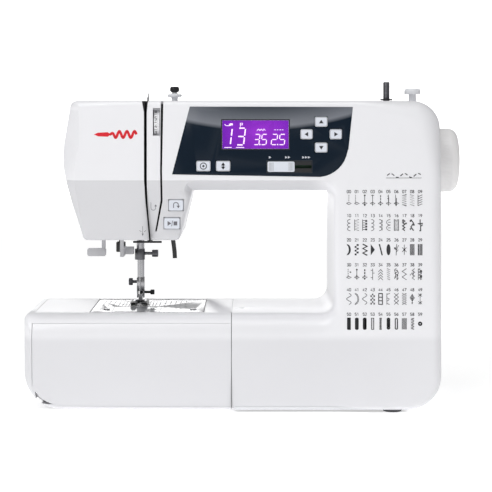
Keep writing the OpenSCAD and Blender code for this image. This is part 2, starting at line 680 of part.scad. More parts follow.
front_cover();
rear_cover();
face_cover();
base_plate();
rubber_feet();
main_frame();
free_arm_cover();
extension_table();
storage_lid();
needle_plate();
hook_cover();
carrying_handle();
handwheel();
main_shaft();
bushes();
control_panel();
display();
key_up();
key_down();
key_left();
key_right();
lock_key();
needle_key();
speed_slider();
reverse_button();
start_stop_button();
control_board();
tension_dial();
take_up_lever();
needle_bar();
needle_clamp();
clamp_screw();
needle();
presser_bar();
presser_spring();
foot_lifter();
foot_holder();
holder_screw();
presser_foot();
release_lever();
needle_threader();
buttonhole_lever();
thread_guide();
lamp();
lower_shaft();
belts();
rotary_hook();
bobbin_holder();
bobbin();
feed_dog();
motor();
motor_pulley();
winder_arm();
winder_spindle();
winder_stopper();
pretension_guide();
power_switch();
terminal_socket();
spool_pin();
screws();
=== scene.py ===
import bpy, bmesh, json, math
import numpy as np
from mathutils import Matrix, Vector
from mathutils.geometry import delaunay_2d_cdt

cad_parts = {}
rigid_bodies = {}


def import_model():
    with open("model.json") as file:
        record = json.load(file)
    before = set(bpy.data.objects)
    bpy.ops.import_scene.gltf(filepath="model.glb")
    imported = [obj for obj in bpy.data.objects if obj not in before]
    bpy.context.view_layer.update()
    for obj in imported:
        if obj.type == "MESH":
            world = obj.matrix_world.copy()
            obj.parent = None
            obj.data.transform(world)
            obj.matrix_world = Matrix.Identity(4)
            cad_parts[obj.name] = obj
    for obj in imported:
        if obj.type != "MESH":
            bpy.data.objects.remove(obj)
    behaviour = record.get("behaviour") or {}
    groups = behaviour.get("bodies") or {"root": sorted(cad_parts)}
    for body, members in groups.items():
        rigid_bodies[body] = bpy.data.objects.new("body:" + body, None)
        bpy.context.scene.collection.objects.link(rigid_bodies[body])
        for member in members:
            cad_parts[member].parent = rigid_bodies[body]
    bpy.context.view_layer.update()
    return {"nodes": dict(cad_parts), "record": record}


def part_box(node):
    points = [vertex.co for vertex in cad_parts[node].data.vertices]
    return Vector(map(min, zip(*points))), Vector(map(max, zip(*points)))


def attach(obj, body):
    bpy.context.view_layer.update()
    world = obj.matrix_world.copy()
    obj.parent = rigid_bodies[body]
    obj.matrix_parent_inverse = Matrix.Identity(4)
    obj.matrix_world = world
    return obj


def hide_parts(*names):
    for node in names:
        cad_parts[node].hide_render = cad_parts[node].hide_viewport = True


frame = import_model()
mm = 0.001  # the settings are in millimetres, in the machine's own frame
bodyOf = {node: body for body, nodes in frame["record"]["behaviour"]["bodies"].items() for node in nodes}
slotOf = {part["node"]: part["material_slot"] for part in frame["record"]["subparts"]}
print("frame loaded:", len(frame["nodes"]), "nodes")

# Camera and light
view = {"x": 4.4, "z": 288, "distance": 1320, "frontY": -74, "widthAtFront": 457.6,
        "shiftX": -0.0081, "shiftZ": -0.2886}
lights = [  # name, place, size, power, what it points at
    ("keyLight", (-1000, -1500, 1700), 1200, 18, (0, 0, 170)),
    ("topLight", (0, -500, 1700), 1100, 8.5, (0, 0, 100)),
]
studio = {"ambient": 0.29, "backdropGlow": 1.05, "floorGlow": 0.53}


def makeCamera():
    # level camera; the shifts move the picture without tilting it
    data = bpy.data.cameras.new("camera")
    camera = bpy.data.objects.new("camera", data)
    bpy.context.scene.collection.objects.link(camera)
    camera.location = Vector((view["x"], view["frontY"] - view["distance"], view["z"])) * mm
    camera.rotation_euler = (math.pi / 2, 0, 0)
    data.sensor_width = 36
    data.lens = 36 * view["distance"] / view["widthAtFront"]
    data.shift_x = view["shiftX"]
    data.shift_y = view["shiftZ"]
    bpy.context.scene.camera = camera


def makeStage():
    # floor, backdrop, two soft area lights and an even sky
    sheets = {  # name: corners in metres, glow
        "floor": ([(-6, -3, 0), (6, -3, 0), (6, 3, 0), (-6, 3, 0)], studio["floorGlow"]),
        "backdrop": ([(-1, 3, 0), (1, 3, 0), (1, 3, 1), (-1, 3, 1)], studio["backdropGlow"]),
    }
    for name, (corners, glow) in sheets.items():
        mesh = bpy.data.meshes.new(name)
        mesh.from_pydata(corners, [], [(0, 1, 2, 3)])
        sheet = bpy.data.objects.new(name, mesh)
        bpy.context.scene.collection.objects.link(sheet)
        mesh.materials.append(plastic(name + "Paper", (0.93, 0.93, 0.93), roughness=0.8, grain=0,
                                      emission=(1, 1, 1, glow)))
    for name, place, size, power, aim in lights:
        data = bpy.data.lights.new(name, "AREA")
        data.size = size * mm
        data.energy = power
        lamp = bpy.data.objects.new(name, data)
        lamp.location = Vector(place) * mm
        lamp.rotation_euler = (Vector(aim) - Vector(place)).to_track_quat("-Z", "Y").to_euler()
        bpy.context.scene.collection.objects.link(lamp)
    world = bpy.data.worlds.new("studio")
    world.use_nodes = True
    world.node_tree.nodes["Background"].inputs["Color"].default_value = (1, 1, 1, 1)
    world.node_tree.nodes["Background"].inputs["Strength"].default_value = studio["ambient"]
    bpy.context.scene.world = world
    bpy.context.scene.view_settings.view_transform = "Standard"


# Materials
def plastic(name, color, roughness=0.35, metallic=0.0, grain=1.0, bump=0.15, scale=900, coat=0.0,
            variation=0.03, stretch=(1, 1, 1), emission=None):
    # Principled shader: colour and roughness vary in broad patches, and a fine grain sets the bump
    mat = bpy.data.materials.get(name)
    if mat:
        return mat
    mat = bpy.data.materials.new(name)
    mat.use_nodes = True
    tree = mat.node_tree
    shader = tree.nodes["Principled BSDF"]
    shader.inputs["Metallic"].default_value = metallic
    shader.inputs["Coat Weight"].default_value = coat
    if emission:
        shader.inputs["Emission Color"].default_value = (*emission[:3], 1)
        shader.inputs["Emission Strength"].default_value = emission[3]
    coords = tree.nodes.new("ShaderNodeTexCoord")
    mapping = tree.nodes.new("ShaderNodeMapping")
    mapping.inputs["Scale"].default_value = stretch
    tree.links.new(coords.outputs["Object"], mapping.inputs["Vector"])
    fine = tree.nodes.new("ShaderNodeTexNoise")
    fine.inputs["Scale"].default_value = scale
    fine.inputs["Detail"].default_value = 3
    broad = tree.nodes.new("ShaderNodeTexNoise")
    broad.inputs["Scale"].default_value = 14
    broad.inputs["Detail"].default_value = 4
    tree.links.new(mapping.outputs[0], fine.inputs["Vector"])
    tree.links.new(mapping.outputs[0], broad.inputs["Vector"])
    tone = tree.nodes.new("ShaderNodeMixRGB")  # broad patches, slightly darker
    tone.inputs[1].default_value = (*color, 1)
    tone.inputs[2].default_value = (*[c * (1 - variation) for c in color], 1)
    tree.links.new(broad.outputs["Fac"], tone.inputs[0])
    tree.links.new(tone.outputs[0], shader.inputs["Base Color"])
    rough = tree.nodes.new("ShaderNodeMapRange")
    rough.inputs["To Min"].default_value = max(0.02, roughness - 0.06)
    rough.inputs["To Max"].default_value = min(1, roughness + 0.06)
    tree.links.new(broad.outputs["Fac"], rough.inputs["Value"])
    tree.links.new(rough.outputs[0], shader.inputs["Roughness"])
    if grain:
        bumpNode = tree.nodes.new("ShaderNodeBump")
        bumpNode.inputs["Strength"].default_value = bump * grain
        bumpNode.inputs["Distance"].default_value = 0.0001
        tree.links.new(fine.outputs["Fac"], bumpNode.inputs["Height"])
        tree.links.new(bumpNode.outputs[0], shader.inputs["Normal"])
    return mat


# where the shell's colour is painted darker for shade, and the factors it is multiplied by
paintedShade = {"crease": 0.217, "headRight": 0.078, "headPaintedShade": 0.78, "bed": 0.0700, "basePaintedShade": 0.86}


def whiteShell():
    # white moulding with painted shade: its colour is darker under the crease of the head and, fading out to
    # the right, on the base's front
    known = bpy.data.materials.get("whiteShell")
    if known:
        return known
    mat = plastic("whiteShell", (0.86, 0.86, 0.885), roughness=0.3, bump=0.08, scale=700, coat=0.15,
                  variation=0.012)
    tree, shader = mat.node_tree, mat.node_tree.nodes["Principled BSDF"]
    position = tree.nodes.new("ShaderNodeTexCoord")
    axes = tree.nodes.new("ShaderNodeSeparateXYZ")
    tree.links.new(position.outputs["Object"], axes.inputs[0])

    def ramp(axis, start, end):
        # smooth step from 0 to 1 between two places on an axis, in metres
        node = tree.nodes.new("ShaderNodeMapRange")
        node.interpolation_type = "SMOOTHSTEP"
        node.inputs["From Min"].default_value, node.inputs["From Max"].default_value = start, end
        tree.links.new(axes.outputs[axis], node.inputs["Value"])
        return node.outputs[0]

    def times(a, b):
        # product of two node outputs
        node = tree.nodes.new("ShaderNodeMath")
        node.operation = "MULTIPLY"
        tree.links.new(a, node.inputs[0])
        tree.links.new(b, node.inputs[1])
        return node.outputs[0]

    t = paintedShade
    front = ramp("Y", -0.040, -0.060)
    # masks of the painted shade: under the head's crease, and on the base's front below the bed
    head = times(times(ramp("Z", t["crease"] + 0.0006, t["crease"] - 0.0006), ramp("Z", 0.13, 0.14)),
                 times(ramp("X", t["headRight"] + 0.006, t["headRight"] - 0.02), front))
    base = times(times(ramp("Z", t["bed"] + 0.004, t["bed"] - 0.004), ramp("X", 0.30, 0.05)), front)
    colour = shader.inputs["Base Color"].links[0].from_socket
    # painted shade: the colour is multiplied darker where each mask is on
    for paintedLightAmount, shade in ((head, t["headPaintedShade"]), (base, t["basePaintedShade"])):
        tone = tree.nodes.new("ShaderNodeMixRGB")
        tone.blend_type = "MULTIPLY"
        tone.inputs[2].default_value = (shade, shade, shade * 1.005, 1)
        tree.links.new(paintedLightAmount, tone.inputs[0])
        tree.links.new(colour, tone.inputs[1])
        colour = tone.outputs[0]
    tree.links.new(colour, shader.inputs["Base Color"])
    return mat


paints = {
    "whiteTrim": {"color": (0.8, 0.81, 0.84), "roughness": 0.4, "bump": 0.12, "scale": 900},
    "keyPlastic": {"color": (0.74, 0.77, 0.84), "roughness": 0.38, "bump": 0.1, "scale": 1200},
    "blackPlastic": {"color": (0.012, 0.012, 0.014), "roughness": 0.35, "bump": 0.25, "scale": 1500},
    "chromeSteel": {"color": (0.44, 0.44, 0.455), "roughness": 0.2, "metallic": 1.0, "bump": 0.05,
                    "scale": 1600},
    "darkSteel": {"color": (0.13, 0.13, 0.14), "roughness": 0.3, "metallic": 1.0, "bump": 0.15, "scale": 900},
    "paleSteel": {"color": (0.92, 0.92, 0.93), "roughness": 0.16, "metallic": 0.5, "bump": 0.04,
                  "scale": 500, "stretch": (1, 10, 1)},
    "threaderGrey": {"color": (0.5, 0.5, 0.52), "roughness": 0.4, "bump": 0.2, "scale": 1200},
    "satinSteel": {"color": (0.66, 0.67, 0.69), "roughness": 0.3, "metallic": 1.0, "bump": 0.3,
                   "scale": 500, "stretch": (1, 12, 1)},
    "inkBlack": {"color": (0.02, 0.02, 0.025), "roughness": 0.5, "bump": 0.05},
    "rubberGrey": {"color": (0.07, 0.07, 0.075), "roughness": 0.75, "bump": 0.4, "scale": 1500},
    "signGrey": {"color": (0.16, 0.16, 0.18), "roughness": 0.5, "bump": 0.05},
    "wheelWhite": {"color": (0.86, 0.85, 0.85), "roughness": 0.38, "bump": 0.1, "scale": 800},
}


def paint(name):
    # a finish from the table, or one of the two with nodes of its own
    makers = {"whiteShell": whiteShell, "panelGlass": panelGlass}
    return makers[name]() if name in makers else plastic(name, **paints[name])


# Meshes
def addPiece(name, verts, faces, mat, body, slotName, sharp=32, replaced=()):
    # Makes a mesh from points in millimetres, turns its faces outwards and rides it on a body.
    mesh = bpy.data.meshes.new(name)
    mesh.from_pydata([tuple(v) for v in (np.asarray(verts, float) * mm).tolist()], [], faces)
    return addMesh(name, mesh, mat, body, slotName, sharp, replaced)


def addMesh(name, mesh, mat, body, slotName, sharp=32, replaced=()):
    # merges doubles, turns the faces outwards, shades smooth with sharp edges, and rides the piece on its
    # body
    work = bmesh.new()
    work.from_mesh(mesh)
    bmesh.ops.remove_doubles(work, verts=work.verts, dist=1e-6)
    bmesh.ops.recalc_face_normals(work, faces=work.faces)
    work.to_mesh(mesh)
    work.free()
    mesh.materials.clear()
    mesh.materials.append(mat)
    mesh.polygons.foreach_set("use_smooth", np.ones(len(mesh.polygons), bool))
    mesh.set_sharp_from_angle(angle=math.radians(sharp))
    piece = bpy.data.objects.new(name, mesh)
    bpy.context.scene.collection.objects.link(piece)
    if body:
        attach(piece, body)
    if replaced:
        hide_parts(*replaced)
    return piece


def gridFaces(rows, columns, closed=True, start=0):
    # Quads of a grid of points; closed joins the last column to the first.
    i = np.arange(rows - 1)[:, None]
    j = np.arange(columns if closed else columns - 1)[None, :]
    a = start + i * columns + j
    b = start + i * columns + (j + 1) % columns
    return np.stack([a, b, b + columns, a + columns], -1).reshape(-1, 4).tolist()


def arc(cx, cz, r, a0, a1, n=14):
    # n + 1 points (c + r cos a, c + r sin a), a in degrees from a0 to a1
    t = np.radians(np.linspace(a0, a1, n + 1))
    return np.stack([cx + r * np.cos(t), cz + r * np.sin(t)], 1)


def lathe(profile, axis, centre, segments=64):
    # Turns a profile of (radius, height) points about an axis: point = centre + height*axis +
    # radius*direction.
    profile = np.asarray(profile, float)
    t = np.linspace(0, 2 * np.pi, segments, endpoint=False)
    r, h = profile[:, 0][:, None], profile[:, 1][:, None]
    u, v = r * np.cos(t), r * np.sin(t)
    h = np.broadcast_to(h, u.shape)
    parts = {"x": (h, u, v), "y": (u, h, v), "z": (u, v, h)}[axis]
    points = np.stack(parts, -1).reshape(-1, 3) + np.asarray(centre, float)
    faces = gridFaces(len(profile), segments)
    if profile[0, 0] > 0:
        faces.append(list(range(segments)))
    if profile[-1, 0] > 0:
        faces.append(list(range((len(profile) - 1) * segments, len(profile) * segments))[::-1])
    return points, faces


def prism(outline, y0, y1):
    # Closed prism: an (x, z) outline carried straight along Y.
    outline = np.asarray(outline, float)
    n = len(outline)
    points = np.concatenate([np.stack([outline[:, 0], np.full(n, y), outline[:, 1]], 1) for y in (y0, y1)])
    return points, gridFaces(2, n) + [list(range(n))[::-1], list(range(n, 2 * n))]


def block(x0, x1, y0, y1, z0, z1):
    # box between two corners
    return prism([(x0, z0), (x1, z0), (x1, z1), (x0, z1)], y0, y1)


def roundBlockZ(x0, x1, y0, y1, z0, z1, r):
    # Upright block with rounded corners: the same prism turned so that it is carried along Z.
    ring = np.concatenate([arc(x1 - r, y1 - r, r, 90, 0, 6), arc(x1 - r, y0 + r, r, 0, -90, 6),
                           arc(x0 + r, y0 + r, r, -90, -180, 6), arc(x0 + r, y1 - r, r, 180, 90, 6)])
    points, faces = prism(ring, z0, z1)
    return points[:, [0, 2, 1]], faces


def plainMesh(points, faces):
    # a mesh from points in millimetres, its faces turned outwards
    mesh = bpy.data.meshes.new("tool")
    mesh.from_pydata([tuple(v) for v in (np.asarray(points, float) * mm).tolist()], [], faces)
    work = bmesh.new()
    work.from_mesh(mesh)
    bmesh.ops.recalc_face_normals(work, faces=work.faces)
    work.to_mesh(mesh)
    work.free()
    return mesh


def carve(mesh, keep=(), cut=()):
    # The part of a closed mesh inside every keep solid and outside every cut solid.
    target = bpy.data.objects.new("carving", mesh.copy())
    bpy.context.scene.collection.objects.link(target)
    tools = []
    for operation, solids in (("INTERSECT", keep), ("DIFFERENCE", cut)):
        for points, faces in solids:
            tool = bpy.data.objects.new("tool", plainMesh(points, faces))
            bpy.context.scene.collection.objects.link(tool)
            modifier = target.modifiers.new("carve", "BOOLEAN")
            modifier.operation, modifier.object, modifier.solver = operation, tool, "EXACT"
            tools.append(tool)
    graph = bpy.context.evaluated_depsgraph_get()
    result = bpy.data.meshes.new_from_object(target.evaluated_get(graph))
    for o in tools + [target]:
        bpy.data.objects.remove(o)
    return result


def softCopy(node, mat, bevel=0.4, segments=2, sharp=40, name=None):
    # A copy of a CAD node's mesh with its doubles merged and its hard edges rounded by a bevel.
    mesh = frame["nodes"][node].data.copy()
    work = bmesh.new()
    work.from_mesh(mesh)
    bmesh.ops.remove_doubles(work, verts=work.verts, dist=2e-6)
    bmesh.ops.dissolve_limit(work, angle_limit=math.radians(0.6), verts=work.verts, edges=work.edges)
    work.to_mesh(mesh)
    work.free()
    holder = bpy.data.objects.new("holder", mesh)
    bpy.context.scene.collection.objects.link(holder)
    modifier = holder.modifiers.new("edges", "BEVEL")
    modifier.width, modifier.segments = bevel * mm, segments
    modifier.limit_method, modifier.angle_limit = "ANGLE", math.radians(38)
    modifier.use_clamp_overlap = True
    result = bpy.data.meshes.new_from_object(holder.evaluated_get(bpy.context.evaluated_depsgraph_get()))
    bpy.data.objects.remove(holder)
    return addMesh(name or node + "_soft", result, mat, bodyOf[node], slotOf[node], sharp, (node,))


# The body: one closed surface for the whole outside, which is then parted into its covers
body = {
    "frontY": -74, "rearY": 52, "bulgeY": 75, "splitY": -12, "crease": 217, "headLean": 0.106,
    "baseLean": 0.045, "bedStart": 71.1, "bulgeX": (92, 104), "bulgeZ": (192, 234), "step": 2.2, "cell": 5.0,
}


def smooth(t):
    # smooth step 3t^2 - 2t^3, with t held between 0 and 1
    t = np.clip(t, 0, 1)
    return t * t * (3 - 2 * t)


def bodyOutline():
    # Outline seen from the front, clockwise, with the width, depth and straightness of its front rim.
    sections = [  # points, then (width, depth, straightness) of the front rim at its start and its end
        (arc(-157, 283, 8, 180, 90), (10, 14, 0.9), (6, 7, 0.2)),
        (np.array([[-120, 291], [110, 291]]), (5, 5, 0), (5, 6, 0)),
        (arc(157.5, 265, 26, 90, 0), (18, 20, 0), (21, 20, 0)),
        (np.array([[183.5, 225], [183.5, 60]]), (11, 11, 0), (9, 9, 0)),
        (arc(152.5, 34, 31, 0, -90), (8, 8, 0), (5, 6, 0)),
        (np.array([[100, 3], [-100, 3]]), (4, 5, 0), (4, 5, 0)),
        (arc(-173, 37, 34, -90, -180), (5, 6, 0), (8.5, 9, 0.6)),
        (arc(-203, 87.1, 4, 180, 90, 5), (8.5, 9, 0.6), (12, 14, 0.3)),
        (np.array([[-186, 91.1], [50, 91.1]]), (20, 20, 0), (20, 20, 0)),
        (arc(69.5, 104.1, 13, -90, 0), (17, 18, 0), (6, 6, 0)),
        (arc(73.5, 198, 9, 0, 90), (5, 5, 0), (9, 10, 0.8)),
        (np.array([[50, 207], [-49.8, 207]]), (10, 12, 1), (10, 12, 1)),
        (np.array([[-51.4, 200.5]]), (4, 4, 0), (4, 4, 0)),
        (arc(-65.5, 165.5, 5, 0, -90, 6), (3.5, 4, 0), (3, 3, 0)),
        (arc(-147.5, 165.5, 5, -90, -180, 6), (2.5, 3, 0), (2.5, 3, 0.2)),
        (np.array([[-156.8, 179], [-162.6, 196], [-167.4, 213], [-170.3, 226], [-171.4, 238], [-170.9, 250]]),
         (4, 5, 0.6), (16, 18, 0.9)),
    ]
    points = np.concatenate([s[0] for s in sections])
    rims = np.concatenate([np.linspace(s[1], s[2], len(s[0])) for s in sections])
    following = np.roll(points, -1, 0)
    counts = np.maximum(1, np.ceil(np.linalg.norm(following - points, axis=1) / body["step"])).astype(int)
    starts = np.repeat(np.arange(len(points)), counts)
    t = (np.arange(len(starts)) - np.repeat(np.cumsum(counts) - counts, counts)) / counts[starts]
    fine = points[starts] + (following[starts] - points[starts]) * t[:, None]
    fineRims = rims[starts] + (np.roll(rims, -1, 0)[starts] - rims[starts]) * t[:, None]
    return fine, blurred(fineRims)


def inwardMitre(points):
    # Direction that moves a clockwise outline inwards by one unit: (n1 + n2) / (1 + n1.n2).
    step = np.roll(points, -1, 0) - points
    step /= np.linalg.norm(step, axis=1)[:, None]
    after = np.stack([step[:, 1], -step[:, 0]], 1)
    before = np.roll(after, 1, 0)
    return blurred((after + before) / np.maximum(0.4, 1 + (after * before).sum(1))[:, None])


def blurred(values):
    # running average round the closed outline, weights exp(-t^2) over nine points
    kernel = np.exp(-np.linspace(-2, 2, 9) ** 2)
    kernel /= kernel.sum()
    padded = np.concatenate([values[-4:], values, values[:4]])
    return np.stack([np.convolve(padded[:, k], kernel, "valid") for k in range(values.shape[1])], 1)


def innerOutline(points, mitre, width):
    # points + mitre * width, kept out of the two corners where the rim is wider than the corner's radius
    inner = points + mitre * width[:, None]
    table = (points[:, 0] < -150) & (points[:, 1] > 50) & (points[:, 1] < 100)
    head = (points[:, 0] < -150) & (points[:, 1] > 250)
    corners = [(-198.5, 71.1), (-154.8, 285.4)] if width.max() > 15 else [(-200, 84.1), (-157, 283)]
    for area, corner in zip((table, head), corners):
        inner[area] = np.stack([np.maximum(inner[area, 0], corner[0]),
                                np.minimum(inner[area, 1], corner[1])], 1)
        close = area & (np.linalg.norm(inner - corner, axis=1) < 0.5)
        inner[close] = corner
    return inner


def frontDepth(x, z):
    # How far the front face lies behind its plane: the lower head and the base front lean back.
    head = np.clip(body["crease"] - z, 0, None) * body["headLean"] * (1 - smooth((x + 54) / 8)) * (z > 120)
    base = np.clip(body["bedStart"] - z, 0, None) * body["baseLean"] * (1 - smooth((x - 84) / 36))
    return head + base


def rearFace(x, z):
    # Y of the rear face: flat, with the smooth step of the motor housing at the column.
    rise = smooth((x - body["bulgeX"][0]) / 12) * (1 - smooth((z - body["bulgeZ"][0]) / 42))
    return body["rearY"] + (body["bulgeY"] - body["rearY"]) * rise


def insidePolygon(p, polygon, margin):
    # points of p inside the polygon, by counting edge crossings to the right, and a margin away from its
    # corners
    a, b = polygon, np.roll(polygon, -1, 0)
    crosses = (a[None, :, 1] > p[:, None, 1]) != (b[None, :, 1] > p[:, None, 1])
    height = np.where(b[:, 1] == a[:, 1], 1e-9, b[:, 1] - a[:, 1])
    at = a[None, :, 0] + (p[:, None, 1] - a[None, :, 1]) * (b - a)[None, :, 0] / height[None]
    inside = (crosses & (p[:, None, 0] < at)).sum(1) % 2 == 1
    near = np.linalg.norm(p[:, None] - a[None], axis=2).min(1) < margin
    return p[inside & ~near]


def cap(ring, rows=()):
    # Triangles that fill a ring of (x, z) points, over a grid of inner points with extra rows of heights.
    low, high = ring.min(0), ring.max(0)
    xs = np.arange(low[0], high[0], body["cell"])
    zs = np.unique(np.concatenate([np.arange(low[1], high[1], body["cell"]), rows]))
    inner = np.stack(np.meshgrid(xs, zs), -1).reshape(-1, 2)
    inner = insidePolygon(inner, ring, 1.8)
    verts = [Vector(p) for p in np.concatenate([ring, inner]).tolist()]
    out = delaunay_2d_cdt(verts, [], [list(range(len(ring)))[::-1]], 1, 1e-6)
    points = np.array([tuple(p) for p in out[0]])
    return points, [list(f) for f in out[2]], out[3]


def wholeBody():
    # Rim rings carried round the outline, front rim, side wall and rear rim, then a cap at each end.
    outline, rims = bodyOutline()
    mitre = inwardMitre(outline)
    inner = innerOutline(outline, mitre, rims[:, 0])
    rings = []
    for phi in np.radians(np.linspace(90, 0, 9)):  # from the front face round to the side wall
        circle = np.array([1 - np.cos(phi), 1 - np.sin(phi)])
        line = np.array([phi / (np.pi / 2), 1 - phi / (np.pi / 2)])
        part = circle[None] * (1 - rims[:, 2:3]) + line[None] * rims[:, 2:3]
        p = outline + (inner - outline) * part[:, :1]
        y = body["frontY"] + rims[:, 1] * part[:, 1] + frontDepth(p[:, 0], p[:, 1])
        rings.append(np.stack([p[:, 0], y, p[:, 1]], 1))
    for y in (-30, 0, 30):
        rings.append(np.stack([outline[:, 0], np.full(len(outline), y), outline[:, 1]], 1))
    rearRim = np.where(outline[:, 1] < 4, 4.0, 7.0)
    rearRim = np.where((outline[:, 1] > 91.2) & (outline[:, 1] < 207.5), 4.0, rearRim)
    rearRim = np.where((outline[:, 0] > 90) | (outline[:, 1] > 208), np.where(outline[:, 1] < 4, 4, 8.0),
                       rearRim)
    rearRim = np.convolve(np.concatenate([rearRim[-4:], rearRim, rearRim[:4]]), np.ones(9) / 9, "valid")
    for phi in np.radians(np.linspace(0, 90, 7)):
        p = outline + (innerOutline(outline, mitre, rearRim) - outline) * (1 - np.cos(phi))
        y = rearFace(p[:, 0], p[:, 1]) - rearRim * (1 - np.sin(phi))
        rings.append(np.stack([p[:, 0], y, p[:, 1]], 1))
    n = len(outline)
    points = np.concatenate(rings)
    faces = gridFaces(len(rings), n)
    crease = body["crease"]
    for ring, front in ((rings[0], True), (rings[-1], False)):
        rows = [crease - 0.7, crease, crease + 0.7, body["bedStart"] - 0.7, body["bedStart"]] if front else []
        flat, triangles, origins = cap(ring[:, [0, 2]], np.array(rows, float))
        y = body["frontY"] + frontDepth(flat[:, 0], flat[:, 1]) if front else rearFace(flat[:, 0], flat[:, 1])
        offset = len(points)
        points = np.concatenate([points, np.stack([flat[:, 0], y, flat[:, 1]], 1)])
        faces += [[offset + k for k in f] for f in triangles]
    mesh = plainMesh(points, faces)
    work = bmesh.new()
    work.from_mesh(mesh)
    bmesh.ops.remove_doubles(work, verts=work.verts, dist=2e-6)
    bmesh.ops.recalc_face_normals(work, faces=work.faces)
    openEdges = sum(1 for e in work.edges if not e.is_manifold)
    work.to_mesh(mesh)
    work.free()
    print("whole body:", len(mesh.vertices), "points,", openEdges, "open edges")
    return mesh


slots = {
    "leftSide": [(-96.4, 292), (-94.3, 280), (-94.2, 217), (-92.9, 198), (-91.0, 180), (-89.2, 159)],
    "rightSide": [(-90.4, 292), (-91.6, 280), (-91.6, 217), (-91.3, 198), (-90.0, 180), (-88.2, 159)],
    "second": [(-78.6, 292), (-76.2, 292), (-77.4, 226), (-77.0, 198), (-82.6, 169), (-84.2, 169),
               (-78.9, 198),
               (-79.3, 226)],
}
covers = {
    "seam": 0.15, "tableRight": -13.2, "baseLeft": -12.6,
    "dialWindow": (-86.0, -79.2, 258.6, 284.2), "reverse": (-71.9, -57.2, 188.1, 199.3),
    "start": (-76.3, -60.5, 171.0, 182.4),
}


keyNodes = ["key_up", "key_down", "key_left", "key_right", "lock_key", "needle_key", "reverse_button",
            "start_stop_button"]


def rectOf(node, trim=0.0):
    # a node's rectangle seen from the front, less a trim all round, and its front
    low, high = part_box(node)
    return low[0] / mm + trim, high[0] / mm - trim, low[2] / mm + trim, high[2] / mm - trim, low[1] / mm


def makeCovers():
    # parts the whole body at the slots and seams, with pockets for what moves inside
    whole = wholeBody()
    seam, split = covers["seam"], body["splitY"]
    left, right = slots["leftSide"], slots["rightSide"]
    faceRegion = prism([(-260, 320), (left[0][0], 320)] + left + [(left[-1][0], 130), (-260, 130)], -100,
                       split - seam)
    frontRegion = prism([(right[0][0], 320), (260, 320), (260, -20), (covers["baseLeft"], -20),
                         (covers["baseLeft"], 130), (right[-1][0], 130)] + right[::-1], -100, split - seam)
    rearRegion = prism([(-260, 320), (260, 320), (260, -20), (covers["baseLeft"], -20),
                        (covers["baseLeft"], 130),
                        (-260, 130)], split + seam, 120)
    tableRegion = prism([(-260, 130), (covers["tableRight"], 130), (covers["tableRight"], -20),
                         (-260, -20)], -120, 120)
    addMesh("face_cover_shell", carve(whole, [faceRegion], [block(-139, -116, -33, -23, 150, 166),
        block(-118, -88, -50, -5, 200, 266)]), whiteShell(),
            "machine", slotOf["face_cover"], replaced=("face_cover",))
    w, r, s = covers["dialWindow"], covers["reverse"], covers["start"]
    pockets = [prism(slots["second"], -100, -32), block(w[0], w[1], -100, -40, w[2], w[3]),
               block(r[0], r[1], -100, -64, r[2], r[3]), block(s[0], s[1], -100, -62, s[2], s[3]),
               block(16, 66, -100, -66, 225, 234.5)]
    for node in keyNodes[:6]:
        x0, x1, z0, z1, front = rectOf(node)
        pockets.append(block(x0 - 0.4, x1 + 0.4, -100, -66, z0 - 0.4, z1 + 0.4))
    addMesh("front_cover_shell", carve(whole, [frontRegion], pockets), whiteShell(), "machine",
            slotOf["front_cover"], replaced=("front_cover",))
    rearPockets = [
        roundBlockZ(-29.8, 63.8, 6.2, 39.8, 268.2, 320, 4), block(-76, -68, 12, 120, 140, 186),
        block(-113, -95, -20, 26, 150, 170), block(-131, -117, 10, 30, 150, 190),
        roundBlockZ(134.4, 146.4, -3, 5, 285, 320, 3.9), block(172, 260, -0.2, 44.2, 35.8, 60.2),
        block(172, 260, 7.8, 30.2, 69.8, 84.2),
    ]
    points, faces = lathe([(2.5, 278), (2.5, 320)], "z", (-45, 22, 0), 24)
    rearPockets.append((points, faces))
    addMesh("rear_cover_shell", carve(whole, [rearRegion], rearPockets), whiteShell(), "machine",
            slotOf["rear_cover"], replaced=("rear_cover",))
    lidFace = lidRegion(0.0)
    lidGap = lidRegion(0.45)
    addMesh("extension_table_shell", carve(whole, [tableRegion], [
        roundBlockZ(-199.4, 40, -53.6, 39.9, -10, 110, 5), lidGap, block(-196, 0, -75, -56, 8, 79),
        block(-197, -16, 42.2, 49.8, -10, 88)]), whiteShell(), "table", slotOf["extension_table"],
        replaced=("extension_table",))
    addMesh("storage_lid_shell", carve(whole, [tableRegion, lidFace]), whiteShell(), "lid",
            slotOf["storage_lid"],
            replaced=("storage_lid",))
    for x0, x1 in ((-134, -122.6), (92.6, 104)):  # bosses that hold the handle
        ring = np.concatenate([arc(67 - 4, 287 - 4, 4, 90, 0, 6), arc(67 - 4, 270 + 4, 4, 0, -90, 6),
                               np.array([[50, 262], [50, 287]])])
        points, faces = prism(ring, x0, x1)
        addPiece("handle_boss_" + ("left" if x0 < 0 else "right"), points[:, [1, 0, 2]], faces, whiteShell(),
                 "machine", slotOf["rear_cover"])
    print("covers parted")


def lidRegion(grow):
    # Solid that holds the lid: its side view follows the front face and the bed's rounded edge, carried
    # along X.
    centreY, centreZ = body["frontY"] + 20, body["bedStart"]
    outer = arc(centreY, centreZ, 40, 180, 142.5, 8)
    inner = arc(centreY, centreZ, 17.4 - grow, 142.5, 180, 8)
    lift = np.array([[centreY - 40, 6.2 - grow]])
    ring = np.concatenate([lift, outer + [0, grow], inner + [0, grow], [[centreY - 17.0 + grow, 6.2 - grow]]])
    points, faces = prism(ring, -198.4 - grow, covers["tableRight"] + 5)
    return points[:, [1, 0, 2]], faces


makeCamera()
makeStage()
makeCovers()

